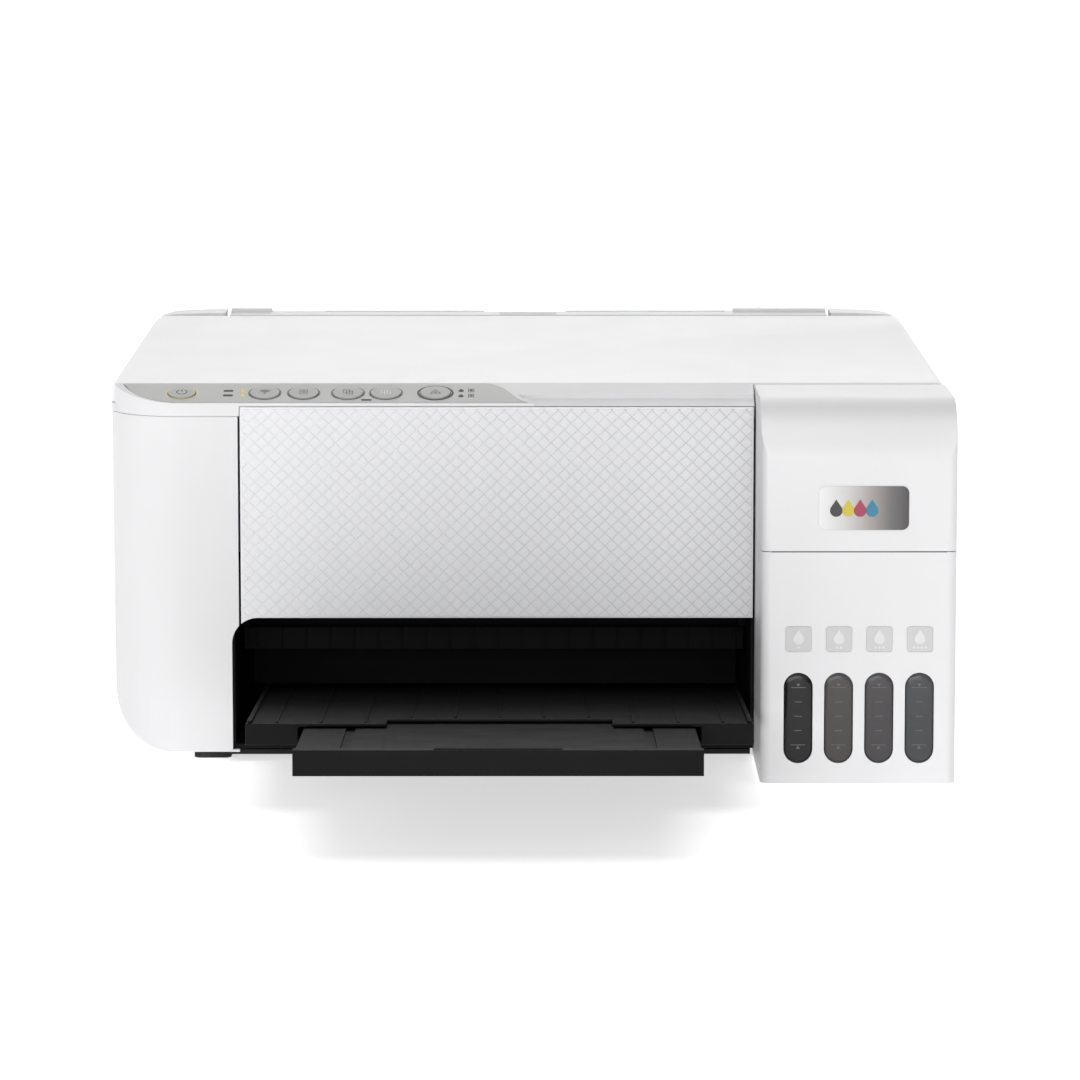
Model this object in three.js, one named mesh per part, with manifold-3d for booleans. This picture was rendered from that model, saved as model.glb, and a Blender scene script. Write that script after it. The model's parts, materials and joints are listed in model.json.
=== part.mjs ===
// A4 inkjet multifunction printer with a built-in ink tank unit at its right front corner.
// Units are millimetres. +Z is up, the front faces -Y and +X is to the right.
// The origin is on the ground, under the middle of the machine.
import * as THREE from 'three';
import { mergeVertices } from 'three/addons/utils/BufferGeometryUtils.js';
import Module from 'manifold-3d';

const wasm = await Module();
wasm.setup();

// ---- driving dimensions -------------------------------------------------------------------
const HALF_WIDTH = 187.5;
const TANK_FRONT_Y = -86;
const PANEL_Y = -26; // front panel face
const LID_FRONT_Y = -4;
const LID_REAR_Y = 232;
const REAR_Y = 259; // back of the rear housing
const WALL = 2.5;
const SEAM = 0.4; // visible gap between neighbouring covers
const ARC_STEPS = 8; // straight pieces in a quarter turn of a large corner

const BODY_BOTTOM_Z = 5;
const BODY_TOP_Z = 156.3; // seam under the scanner unit
const SCANNER_SEAM = 0.3;
const CORNER_R = 33; // front left vertical corner
const BOTTOM_R = 27; // lower left edge
const SIDE_DRAFT = 0.9; // how far the left side leans in at its foot

const SLOPE_FOOT = { y: PANEL_Y, z: 162.4 }; // control panel's lower edge
const SLOPE_HEAD = { y: LID_FRONT_Y, z: 169.1 };
const LID_REAR_Z = 177.4;
const LID_HALF_WIDTH = 187; // at its front edge
const LID_REAR_HALF_WIDTH = 183.2;
const LID_CHAMFER = 3;
const GLASS_TOP_Z = 160.2;
const SCANNER_FLOOR_Z = 132;
const SCANNER_HINGE = { y: 250, z: 168 };
const COVER_HINGE = { y: 225, z: 171 };

const SLOT = { left: -132.4, right: 101.5, bottom: 6, top: 65.8, radius: 11.6 };
const PANEL = { left: -128.3, right: 100.6, bottom: 60 };

const TANK = { left: 101.6, right: 187, bottom: 1.6, seam: 104, top: 169, rear: -7 };
const TANK_EDGE_R = 4.5; // upright front edges of the tank unit
const TANK_PITCH = 17.65;
const TANK_FIRST_X = 118.05;
const TANK_TOP_Z = 112;
const WINDOW = { width: 12.7, bottom: 10.6, top: 50.7 };
const COVER_ARC_R = 27;
const TANK_HINGE = { y: -10.5, z: 163.5 };
const CAP_HINGE = { y: -52.5, z: 121 };

const TRAY_TILT = THREE.MathUtils.degToRad(4);
const TRAY_TIP = { y: -261, z: 42.5 };

const FEED_AXIS = { y: 122, z: 62 };
const EJECT_AXIS = { y: 54.5, z: 60 };
const PICKUP_AXIS = { y: 224, z: 78 };
const GEAR_MODULE = 1.5;
const FEED_TEETH = 32;
const TRANSFER_TEETH = 20;
const EJECT_TEETH = 18;
const PINION_TEETH = 8;
const PINION_ANGLE = THREE.MathUtils.degToRad(220); // from the feed roller to the motor

const PULLEY_R = 6;
const BELT = { y0: 124.6, y1: 127.4, z: 100, thick: 1.2 };
const DRIVE_X = -128;
const IDLER_X = 172;

const CHANNEL_LEFT = -149.6; // rear paper channel
const CHANNEL_RIGHT = 149.8;
const SUPPORT_LEFT = -147.5;
const SUPPORT_RIGHT = 148.2;
const SUPPORT_HINGE = { y: 256, z: 72 };
const GUARD_HINGE = { y: 238.4, z: 175.4 };

// ---- colours ------------------------------------------------------------------------------
const WHITE = { color: 0xe6e6e8, roughness: 0.42, metalness: 0 };
const LID_WHITE = { color: 0xefeff1, roughness: 0.38, metalness: 0 };
const BLACK = { color: 0x222224, roughness: 0.55, metalness: 0 };
const STRIP_GREY = { color: 0xb2b0af, roughness: 0.35, metalness: 0.1 };
const BUTTON_GREY = { color: 0xc4c2c0, roughness: 0.4, metalness: 0 };
const STEEL = { color: 0xb9bcc0, roughness: 0.35, metalness: 1 };
const RUBBER = { color: 0x1c1c1d, roughness: 0.85, metalness: 0 };
const GLASS = { color: 0xcfdcda, roughness: 0.05, metalness: 0 };
const BOARD_GREEN = { color: 0x1f6b3f, roughness: 0.6, metalness: 0 };
const FELT = { color: 0xd8d6d0, roughness: 0.95, metalness: 0 };
const NATURAL = { color: 0xe9e6da, roughness: 0.5, metalness: 0 };
const INKS = [
  { name: 'black', color: 0x222226 },
  { name: 'yellow', color: 0x6a6450 },
  { name: 'magenta', color: 0x67555c },
  { name: 'cyan', color: 0x545f66 },
];

// ---- small geometry library -----------------------------------------------------------------
function solid(geometry) {
  const bare = geometry.index ? geometry.toNonIndexed() : geometry.clone();
  for (const extra of ['normal', 'uv']) bare.deleteAttribute(extra);
  const merged = mergeVertices(bare, 1e-4);
  return new wasm.Manifold(new wasm.Mesh({
    numProp: 3,
    vertProperties: new Float32Array(merged.attributes.position.array),
    triVerts: new Uint32Array(merged.index.array),
  }));
}

function union(...solids) {
  return solids.reduce((sum, next) => sum.add(next));
}

function cut(body, ...tools) {
  return tools.reduce((rest, tool) => rest.subtract(tool), body);
}

function box(x0, x1, y0, y1, z0, z1) {
  const geometry = new THREE.BoxGeometry(x1 - x0, y1 - y0, z1 - z0);
  geometry.translate((x0 + x1) / 2, (y0 + y1) / 2, (z0 + z1) / 2);
  return solid(geometry);
}

// Cylinder whose axis is parallel to X, Y or Z, from one end to the other along that axis.
function rod(axis, radius, a, b, from, to, sides = 20) {
  const geometry = new THREE.CylinderGeometry(radius, radius, to - from, sides);
  const middle = (from + to) / 2;
  if (axis === 'x') {
    geometry.rotateZ(-Math.PI / 2);
    geometry.translate(middle, a, b);
  } else if (axis === 'y') {
    geometry.translate(a, middle, b);
  } else {
    geometry.rotateX(Math.PI / 2);
    geometry.translate(a, b, middle);
  }
  return solid(geometry);
}

// Extrude a 2-D outline. plane says which coordinates the outline is drawn in.
function prism(shape, plane, from, to, steps = ARC_STEPS) {
  const geometry = new THREE.ExtrudeGeometry(shape, {
    depth: to - from, bevelEnabled: false, curveSegments: steps,
  });
  geometry.translate(0, 0, from);
  const turn = {
    xy: [[1, 0, 0], [0, 1, 0], [0, 0, 1]],
    xz: [[1, 0, 0], [0, 0, 1], [0, 1, 0]],
    yz: [[0, 1, 0], [0, 0, 1], [1, 0, 0]],
  }[plane].map((v) => new THREE.Vector3(...v));
  geometry.applyMatrix4(new THREE.Matrix4().makeBasis(...turn));
  if (plane === 'xz') flip(geometry);
  return solid(geometry);
}

// Turn every triangle over, for outlines whose plane is mirrored.
function flip(geometry) {
  const p = geometry.attributes.position;
  for (let i = 0; i < p.count; i += 3) {
    const hold = [p.getX(i), p.getY(i), p.getZ(i)];
    p.setXYZ(i, p.getX(i + 1), p.getY(i + 1), p.getZ(i + 1));
    p.setXYZ(i + 1, ...hold);
  }
}

function polygon(points) {
  return new THREE.Shape(points.map(([a, b]) => new THREE.Vector2(a, b)));
}

// Rectangle with one radius for each corner: low-low, high-low, high-high, low-high.
function roundedRect(a0, b0, a1, b1, radii) {
  const [r0, r1, r2, r3] = Array.isArray(radii) ? radii : [radii, radii, radii, radii];
  const quarter = Math.PI / 2;
  const shape = new THREE.Shape();
  shape.moveTo(a0 + r0, b0);
  shape.lineTo(a1 - r1, b0);
  if (r1) shape.absarc(a1 - r1, b0 + r1, r1, -quarter, 0, false);
  shape.lineTo(a1, b1 - r2);
  if (r2) shape.absarc(a1 - r2, b1 - r2, r2, 0, quarter, false);
  shape.lineTo(a0 + r3, b1);
  if (r3) shape.absarc(a0 + r3, b1 - r3, r3, quarter, 2 * quarter, false);
  shape.lineTo(a0, b0 + r0);
  if (r0) shape.absarc(a0 + r0, b0 + r0, r0, 2 * quarter, 3 * quarter, false);
  return shape;
}

// Move a solid that was made around the origin into a frame given by a matrix.
function placed(body, matrix) {
  return body.transform(matrix.elements);
}

const printer = new THREE.Group();

function node(name, body, look) {
  const mesh = body.getMesh();
  const geometry = new THREE.BufferGeometry();
  geometry.setAttribute('position', new THREE.BufferAttribute(new Float32Array(mesh.vertProperties), 3));
  geometry.setIndex(new THREE.BufferAttribute(new Uint32Array(mesh.triVerts), 1));
  geometry.computeVertexNormals();
  const piece = new THREE.Mesh(geometry, new THREE.MeshStandardMaterial(look));
  piece.name = name;
  printer.add(piece);
}

// ---- housings -------------------------------------------------------------------------------
// Opening that the printed sheets leave through, cut in every cover around it.
const slotCutter = prism(
  roundedRect(SLOT.left, SLOT.bottom, SLOT.right, SLOT.top, [0, 0, 0, SLOT.radius]),
  'xz', PANEL_Y - 40, PANEL_Y + 8);

// Upright outline of the body with its leaning left side and large lower left edge.
function bodyOutline(inset, right, top) {
  const side = -HALF_WIDTH + inset;
  const foot = side + SIDE_DRAFT;
  const low = BODY_BOTTOM_Z + inset;
  const radius = BOTTOM_R - inset;
  const shape = new THREE.Shape();
  shape.moveTo(foot + radius, low);
  shape.lineTo(right, low);
  shape.lineTo(right, top);
  shape.lineTo(side, top);
  shape.lineTo(foot, low + radius);
  shape.absarc(foot + radius, low + radius, radius, Math.PI, 1.5 * Math.PI, false);
  return shape;
}

function leftHousing() {
  const right = PANEL.left - 1;
  const shell = (inset, top, frontY) => {
    const plan = roundedRect(-HALF_WIDTH + inset, frontY, right, LID_REAR_Y, [CORNER_R - inset, 0, 0, 0]);
    return prism(plan, 'xy', BODY_BOTTOM_Z + inset - 1, top + 1).intersect(
      prism(bodyOutline(inset, right, top), 'xz', frontY - 1, LID_REAR_Y + 1));
  };
  const outer = shell(0, BODY_TOP_Z, PANEL_Y);
  const inner = shell(WALL, BODY_TOP_Z + 20, PANEL_Y + WALL);
  const rightOpening = box(-135.5, right + 1, PANEL_Y + WALL, LID_REAR_Y + 1, 0, BODY_TOP_Z + 1);
  const rearOpening = box(-HALF_WIDTH + 8, right + 1, LID_REAR_Y - 6, LID_REAR_Y + 1, 12, BODY_TOP_Z + 1);
  return cut(outer, inner, rightOpening, rearOpening, slotCutter);
}

function rightHousing() {
  const outline = polygon([
    [HALF_WIDTH - 14, BODY_BOTTOM_Z], [HALF_WIDTH - 3, BODY_BOTTOM_Z],
    [HALF_WIDTH, BODY_BOTTOM_Z + 3], [HALF_WIDTH, BODY_TOP_Z],
    [HALF_WIDTH - WALL, BODY_TOP_Z], [HALF_WIDTH - WALL, BODY_BOTTOM_Z + WALL],
    [HALF_WIDTH - 14, BODY_BOTTOM_Z + WALL],
  ]);
  return prism(outline, 'xz', TANK.rear + SEAM, LID_REAR_Y);
}

function rearHousing() {
  const front = LID_REAR_Y + 2;
  const rear = REAR_Y + 1;
  const low = LID_REAR_Y + SEAM;
  const upright = prism(bodyOutline(0, HALF_WIDTH, 180), 'xz', low - 1, rear + 1);
  const innerUpright = prism(bodyOutline(3, 184.5, 180), 'xz', low - 1, rear + 1);
  const plan = roundedRect(-HALF_WIDTH, low, HALF_WIDTH, REAR_Y, [0, 0, 20, 20]);
  const innerPlan = prism(roundedRect(-184.5, low - 2, 184.5, REAR_Y - 3, [0, 0, 17, 17]), 'xy', 0, 200)
    .intersect(innerUpright);
  const tall = box(-HALF_WIDTH, HALF_WIDTH, front, rear, BODY_BOTTOM_Z, 166);
  const short = box(-HALF_WIDTH, HALF_WIDTH, low, front + 0.5, BODY_BOTTOM_Z, BODY_TOP_Z);
  let body = prism(plan, 'xy', BODY_BOTTOM_Z, 166).intersect(union(tall, short)).intersect(upright);
  const shoulderPlan = prism(roundedRect(-LID_REAR_HALF_WIDTH, front + 2.5, LID_REAR_HALF_WIDTH, REAR_Y,
    [0, 0, 22, 22]), 'xy', 150, 180, 8);
  for (const side of [-1, 1]) {
    const shoulder = polygon([
      [side * 148, 150], [side * 184, 150], [side * 184, 173.5], [side * 181, 176.6],
      [side * 176, 177.7], [side * 148, 178.4],
    ]);
    body = body.add(prism(shoulder, 'xz', front + 2.5, REAR_Y).intersect(shoulderPlan));
    const armSlot = box(side < 0 ? -166.5 : 155.5, side < 0 ? -155.5 : 166.5, low - 1, 257, 140, 175.5);
    const pillar = box(side < 0 ? -184 : 155.5, side < 0 ? -155.5 : 184, low - 1, 256, 58, 140)
      .intersect(innerPlan);
    const pin = rod('x', 3, SCANNER_HINGE.y, SCANNER_HINGE.z, side * 161 - 6, side * 161 + 6);
    body = cut(body, armSlot, pillar).add(pin);
  }
  const lowerRoom = box(-184, 184, low - 1, 256, BODY_BOTTOM_Z + WALL, 58.5).intersect(innerPlan);
  const paperChannel = box(CHANNEL_LEFT, CHANNEL_RIGHT, front + 2.5, 250, 58, 200);
  const supportRoom = box(CHANNEL_LEFT, CHANNEL_RIGHT, 249, rear, 67.5, 200);
  const rollerWindow = box(-46, 16, low - 1, front + 3, 60, 96);
  const supportPivots = rod('x', 2.8, SUPPORT_HINGE.y, SUPPORT_HINGE.z, -154, 154);
  const guardPivots = rod('x', 1.5, GUARD_HINGE.y, GUARD_HINGE.z, -152.4, 152.4, 12);
  const inletHole = box(132.7, 157.3, 250, rear, 21.7, 42.3);
  const usbHole = box(-152.3, -135.7, 250, rear, 21.7, 36.3);
  return cut(body, lowerRoom, paperChannel, supportRoom, rollerWindow, supportPivots, guardPivots,
    inletHole, usbHole);
}

function basePan() {
  const pan = box(-133.6, 173, PANEL_Y + 5, 231, 3, 5.5);
  const ribs = [60, 125, 180].map((y) => box(108, 172, y, y + 2, 5, 7));
  const tankCorner = box(100, 190, PANEL_Y, TANK.rear + 1, 0, 10);
  return cut(union(pan, ...ribs), tankCorner);
}

function foot(x0, x1, y0, y1, top) {
  return prism(roundedRect(x0, y0, x1, y1, 3), 'xy', 0, top - 0.3, 3);
}

// ---- ink tank unit ----------------------------------------------------------------------------
const tankX = INKS.map((ink, i) => TANK_FIRST_X + i * TANK_PITCH);

function tankHousing() {
  const outer = prism(
    roundedRect(TANK.left, TANK_FRONT_Y, TANK.right, TANK.rear, [TANK_EDGE_R, TANK_EDGE_R, 0, 0]),
    'xy', TANK.bottom, TANK.seam - SEAM / 2, 5);
  const room = box(TANK.left + WALL, TANK.right - WALL, TANK_FRONT_Y + WALL, TANK.rear - WALL,
    TANK.bottom + WALL, 200);
  const rearWall = box(TANK.left, TANK.right, TANK.rear - WALL, TANK.rear, 90, 156);
  const arms = [TANK.left + 3, TANK.right - 6].map((x) => {
    const arm = union(
      box(x, x + 3, TANK_HINGE.y - 2.8, TANK.rear, 150, 158),
      box(x, x + 3, TANK_HINGE.y - 2.8, TANK_HINGE.y + 2.8, 156, TANK_HINGE.z),
      rod('x', 2.8, TANK_HINGE.y, TANK_HINGE.z, x, x + 3));
    return cut(arm, rod('x', 2, TANK_HINGE.y, TANK_HINGE.z, x - 1, x + 4));
  });
  const windows = tankX.map((x) => prism(
    roundedRect(x - WINDOW.width / 2, WINDOW.bottom, x + WINDOW.width / 2, WINDOW.top, WINDOW.width / 2 - 0.01),
    'xz', TANK_FRONT_Y - 1, TANK_FRONT_Y + WALL + 1, 5));
  const labels = tankX.map((x) => prism(
    roundedRect(x - 5.8, 59.8, x + 5.8, 71.3, 1.5), 'xz', TANK_FRONT_Y - 1, TANK_FRONT_Y + 0.4, 2));
  return cut(union(cut(outer, room), rearWall, ...arms), ...windows, ...labels);
}

function inkTank(x) {
  const body = box(x - 7.9, x + 7.9, TANK_FRONT_Y + WALL + 0.3, -16, 6.5, TANK_TOP_Z);
  const neck = rod('z', 5.5, x, -67, TANK_TOP_Z - 1, 118, 16);
  const post = box(x - 2, x + 2, CAP_HINGE.y - 2, CAP_HINGE.y + 2, TANK_TOP_Z - 1, CAP_HINGE.z + 2);
  const pin = rod('x', 1.3, CAP_HINGE.y, CAP_HINGE.z, x - 6, x + 6, 12);
  return union(body, neck, post, pin);
}

function tankCap(x) {
  const lidPlate = prism(roundedRect(x - 7.2, -77, x + 7.2, -56, [4, 4, 0, 0]), 'xy', 118.4, 124, 4);
  const arms = [x - 7.2, x + 2.5].map((x0) => box(x0, x0 + 4.7, -57, CAP_HINGE.y + 2.4, 118.5, 123.5));
  const bore = rod('x', 1.5, CAP_HINGE.y, CAP_HINGE.z, x - 9, x + 9, 12);
  return cut(union(lidPlate, ...arms), bore);
}

function tankCover() {
  const bottom = TANK.seam + SEAM / 2;
  const side = (inset) => {
    const front = TANK_FRONT_Y + inset;
    const top = TANK.top - inset;
    const rear = TANK.rear - inset;
    const radius = COVER_ARC_R - inset;
    const lip = 4 - inset;
    const shape = new THREE.Shape();
    shape.moveTo(front, bottom - (inset ? 1 : 0));
    shape.lineTo(rear, bottom - (inset ? 1 : 0));
    shape.lineTo(rear, top - lip);
    shape.absarc(rear - lip, top - lip, lip, 0, Math.PI / 2, false);
    shape.lineTo(front + radius, top);
    shape.absarc(front + radius, top - radius, radius, Math.PI / 2, Math.PI, false);
    return shape;
  };
  const outer = prism(side(0), 'yz', TANK.left, TANK.right, 10)
    .intersect(prism(roundedRect(TANK.left, TANK_FRONT_Y, TANK.right, TANK.rear + 1,
      [TANK_EDGE_R, TANK_EDGE_R, 0, 0]), 'xy', 90, 180, 5));
  const room = prism(side(WALL), 'yz', TANK.left + WALL, TANK.right - WALL, 8);
  const rearCut = box(TANK.left - 1, TANK.right + 1, TANK_HINGE.y - 3.5, TANK.rear + 1, 90, 158);
  const backOpening = box(TANK.left + WALL, TANK.right - WALL, -16, TANK.rear + 1, 90, TANK.top - 4);
  const notches = [TANK.left + WALL, TANK.right - 6.4].map((x) => box(
    x, x + 3.9, TANK_HINGE.y - 3.4, TANK.rear + 1, 150, TANK_HINGE.z + 3.2));
  const pins = [TANK.left + 1, TANK.right - 6.2].map((x) => rod(
    'x', 1.8, TANK_HINGE.y, TANK_HINGE.z, x, x + 5.2, 12));
  return union(cut(outer, room, rearCut, backOpening, ...notches), ...pins);
}

// ---- scanner unit -------------------------------------------------------------------------------
function scannerHousing() {
  const rim = prism(polygon([
    [-HALF_WIDTH + 0.2, LID_FRONT_Y], [HALF_WIDTH - 3, LID_FRONT_Y], [HALF_WIDTH - 0.2, LID_FRONT_Y + 3],
    [LID_REAR_HALF_WIDTH + 1.5, LID_REAR_Y - 8], [LID_REAR_HALF_WIDTH, LID_REAR_Y - 2],
    [LID_REAR_HALF_WIDTH - 3, LID_REAR_Y], [-LID_REAR_HALF_WIDTH + 3, LID_REAR_Y],
    [-LID_REAR_HALF_WIDTH, LID_REAR_Y - 2], [-LID_REAR_HALF_WIDTH - 1.5, LID_REAR_Y - 8],
  ]), 'xy', BODY_TOP_Z + SCANNER_SEAM, GLASS_TOP_Z);
  const tub = prism(roundedRect(-180, 6, 180, 226, 6), 'xy', SCANNER_FLOOR_Z, 158, 2);
  const room = prism(roundedRect(-174, 12, 174, 220, 3), 'xy', SCANNER_FLOOR_Z + WALL, 157, 2);
  const glassSeat = box(-162, 162, 8, 218, 156, 170);
  let body = cut(union(rim, tub), room, glassSeat);
  for (const side of [-1, 1]) {
    const x = side * 161;
    const arm = union(
      box(x - 4, x + 4, 226, SCANNER_HINGE.y, 156.6, 160),
      box(x - 4, x + 4, LID_REAR_Y + 1, SCANNER_HINGE.y, 159, 165),
      rod('x', 5.5, SCANNER_HINGE.y, SCANNER_HINGE.z, x - 4, x + 4));
    const bore = rod('x', 3.3, SCANNER_HINGE.y, SCANNER_HINGE.z, x - 5, x + 5);
    const post = union(
      box(side * 120 - 4, side * 120 + 4, COVER_HINGE.y - 3, COVER_HINGE.y + 3, 158, COVER_HINGE.z),
      rod('x', 3, COVER_HINGE.y, COVER_HINGE.z, side * 120 - 4, side * 120 + 4),
      rod('x', 1.6, COVER_HINGE.y, COVER_HINGE.z, side * 120 - 7, side * 120 + 7, 12));
    body = cut(body.add(arm), bore).add(post);
  }
  return body;
}

const slopeRise = SLOPE_HEAD.z - SLOPE_FOOT.z;
const slopeRun = SLOPE_HEAD.y - SLOPE_FOOT.y;
const SLOPE_ANGLE = Math.atan2(slopeRise, slopeRun);
const SLOPE_LENGTH = Math.hypot(slopeRise, slopeRun);
// Frame on the sloping face: x to the right, y up the slope, z out of it.
const slopeFrame = new THREE.Matrix4()
  .makeTranslation(0, SLOPE_FOOT.y, SLOPE_FOOT.z)
  .multiply(new THREE.Matrix4().makeRotationX(SLOPE_ANGLE));
const STRIP_THICK = 0.8;
const BUTTONS = [
  { name: 'power', x: -154.6, r: 6.2 },
  { name: 'network', x: -117.5, r: 6.6 },
  { name: 'info', x: -100.2, r: 6.6 },
  { name: 'copy_mono', x: -80.4, r: 6.8 },
  { name: 'copy_colour', x: -63.4, r: 6.8 },
  { name: 'stop', x: -41.3, r: 6.8 },
];
const BUTTON_V = SLOPE_LENGTH * 0.5;

// Outline of the grey strip on the slope, pointed at its left end and swept off at its right end.
function stripOutline(inset) {
  const shape = new THREE.Shape();
  const low = 0.5 + inset;
  const high = SLOPE_LENGTH - 0.6 - inset;
  shape.moveTo(-158 + inset, low);
  shape.lineTo(1 - 2 * inset, low);
  shape.bezierCurveTo(-8, low + 4, -8, high - 1, -19, high);
  shape.lineTo(-182 + 3 * inset, high);
  shape.bezierCurveTo(-178, high * 0.55, -171, low + 2, -158 + inset, low);
  return shape;
}

function slopePrism(shape, from, to, steps = 8) {
  return placed(prism(shape, 'xy', from, to, steps), slopeFrame);
}

function slopeRod(x, radius, from, to, sides = 20) {
  return placed(rod('z', radius, x, BUTTON_V, from, to, sides), slopeFrame);
}

function controlHousing() {
  const rear = LID_FRONT_Y - SEAM;
  const bottom = BODY_TOP_Z + SCANNER_SEAM;
  const side = polygon([
    [PANEL_Y, bottom], [rear, bottom], [rear, SLOPE_HEAD.z - 0.12], [PANEL_Y, SLOPE_FOOT.z],
  ]);
  const plan = roundedRect(-HALF_WIDTH, PANEL_Y, SLOT.right - 0.5, PANEL_Y + 60, [CORNER_R, 0, 0, 0]);
  const body = prism(side, 'yz', -HALF_WIDTH - 1, SLOT.right + 1).intersect(prism(plan, 'xy', 140, 180));
  const panelRoom = box(PANEL.left - 0.3, SLOT.right + 1, PANEL_Y - 1, PANEL_Y + 3.3, 140, SLOPE_FOOT.z - 1.4);
  const stripSeat = slopePrism(stripOutline(0), -STRIP_THICK - 0.3, 5);
  const fingerDip = slopePrism(polygon([
    [4, -2], [SLOT.right + 2, -2], [SLOT.right + 2, 9.6], [-4.5, 9.6], [-2, 6], [2, 1.5],
  ]), -1.5, 5);
  const pockets = BUTTONS.map((b) => slopeRod(b.x, b.r + 0.3, -4.2, 5));
  return cut(body, panelRoom, stripSeat, fingerDip, ...pockets);
}

function controlStrip() {
  const holes = BUTTONS.map((b) => slopeRod(b.x, b.r + 0.3, -5, 5));
  return cut(slopePrism(stripOutline(0.35), -STRIP_THICK, 0), ...holes);
}

function frontPanel() {
  const plate = box(PANEL.left, PANEL.right, PANEL_Y, PANEL_Y + 3, PANEL.bottom, SLOPE_FOOT.z - 1.7);
  const ribs = [PANEL.left + 2, PANEL.right - 4].map((x) => box(
    x, x + 2, PANEL_Y + 2, PANEL_Y + 12, 100, BODY_TOP_Z - 0.4));
  return cut(union(plate, ...ribs), slotCutter);
}

function documentCover() {
  const profile = polygon([
    [LID_FRONT_Y, 160.6], [226, 160.6], [LID_REAR_Y, 166.5], [LID_REAR_Y, LID_REAR_Z - 2],
    [LID_REAR_Y - 2, LID_REAR_Z], [LID_FRONT_Y + 0.8, SLOPE_HEAD.z], [LID_FRONT_Y, SLOPE_HEAD.z - 0.8],
  ]);
  const plan = polygon([
    [-LID_HALF_WIDTH + 3, LID_FRONT_Y], [LID_HALF_WIDTH - 3, LID_FRONT_Y],
    [LID_HALF_WIDTH - 0.7, LID_FRONT_Y + 1], [LID_HALF_WIDTH, LID_FRONT_Y + 4],
    [LID_REAR_HALF_WIDTH, LID_REAR_Y - 4], [LID_REAR_HALF_WIDTH - 1.2, LID_REAR_Y - 1.2],
    [LID_REAR_HALF_WIDTH - 4, LID_REAR_Y], [-LID_REAR_HALF_WIDTH + 4, LID_REAR_Y],
    [-LID_REAR_HALF_WIDTH + 1.2, LID_REAR_Y - 1.2], [-LID_REAR_HALF_WIDTH, LID_REAR_Y - 4],
    [-LID_HALF_WIDTH, LID_FRONT_Y + 4], [-LID_HALF_WIDTH + 0.7, LID_FRONT_Y + 1],
  ]);
  const room = box(-160, 160, 10, 214, 150, 166);
  const body = prism(profile, 'yz', -190, 190).intersect(prism(plan, 'xy', 150, 190, 8));
  const hinges = [-120, 120].flatMap((x) => [
    box(x - 4.6, x + 4.6, COVER_HINGE.y - 5, LID_REAR_Y + 1, 150, 174.6),
    rod('x', 1.9, COVER_HINGE.y, COVER_HINGE.z, x - 7.6, x + 7.6, 12),
  ]);
  return cut(body, room, ...lidEdgeCutters(), ...hinges);
}

// Wedges that take a shallow chamfer off the lid's two long upper edges.
function lidEdgeCutters() {
  return [-1, 1].map((side) => {
    const front = new THREE.Vector3(side * LID_HALF_WIDTH, LID_FRONT_Y, SLOPE_HEAD.z);
    const rear = new THREE.Vector3(side * LID_REAR_HALF_WIDTH, LID_REAR_Y, LID_REAR_Z);
    const along = rear.clone().sub(front).normalize();
    const outward = new THREE.Vector3(side, 0, 0).addScaledVector(along, -side * along.x).normalize();
    const up = new THREE.Vector3().crossVectors(outward, along).multiplyScalar(side);
    const frame = new THREE.Matrix4().makeBasis(outward, along, up).setPosition(front);
    const wedge = prism(polygon([
      [-LID_CHAMFER, 0.05], [0.5, -1.98], [6, -1.98], [6, 6], [-LID_CHAMFER, 6],
    ]), 'xz', -10, LID_REAR_Y - LID_FRONT_Y + 10);
    return placed(wedge, frame);
  });
}

// ---- paper path ---------------------------------------------------------------------------------
function paperChute() {
  const frameFront = PANEL_Y + 3.5;
  const ring = cut(
    box(-134.8, 101.2, frameFront, 25, 6, 68.5),
    box(-131.2, 99.8, frameFront - 1, 26, 8, 66));
  const trough = cut(
    box(-134.8, 101.2, 24, 138, 6, 40), box(-131.2, 99.8, 20, 139, 8, 41));
  return union(ring, trough);
}

// Tray frame: x to the right, y backwards along the tray, z out of its face, from the tray's tip.
const trayFrame = new THREE.Matrix4()
  .makeTranslation(0, TRAY_TIP.y, TRAY_TIP.z)
  .multiply(new THREE.Matrix4().makeRotationX(-TRAY_TILT));

function trayBox(x0, x1, v0, v1, w0, w1) {
  return placed(box(x0, x1, v0, v1, w0, w1), trayFrame);
}

function outputTray() {
  const body = trayBox(-120, 96, 111, 272, -4.5, 4.5);
  const room = trayBox(-97.5, 73.5, 110, 262, -3.1, 3.1);
  const topOpening = trayBox(-60, 36, 110, 130, 0, 6);
  return cut(body, room, topOpening);
}

function trayExtension() {
  const bar = trayBox(-95, 71, 0, 8, -5.25, 5.25);
  const plate = trayBox(-95, 71, 7, 152, -2.7, 2.7);
  const stopperSeat = trayBox(-42.4, 18.4, 8, 23.4, -0.2, 4);
  const grooves = [-75, 51].map((x) => trayBox(x - 2, x + 2, 30, 140, 1.7, 4));
  const pivots = placed(rod('x', 1.2, 10, 1.4, -44, 20, 12), trayFrame);
  return cut(union(bar, plate), stopperSeat, ...grooves, pivots);
}

function paperStopper() {
  const flap = trayBox(-42, 18, 9.9, 22.9, 0.3, 2.5);
  const pin = placed(rod('x', 1.05, 10, 1.4, -43.6, 19.6, 12), trayFrame);
  return union(flap, pin);
}

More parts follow.
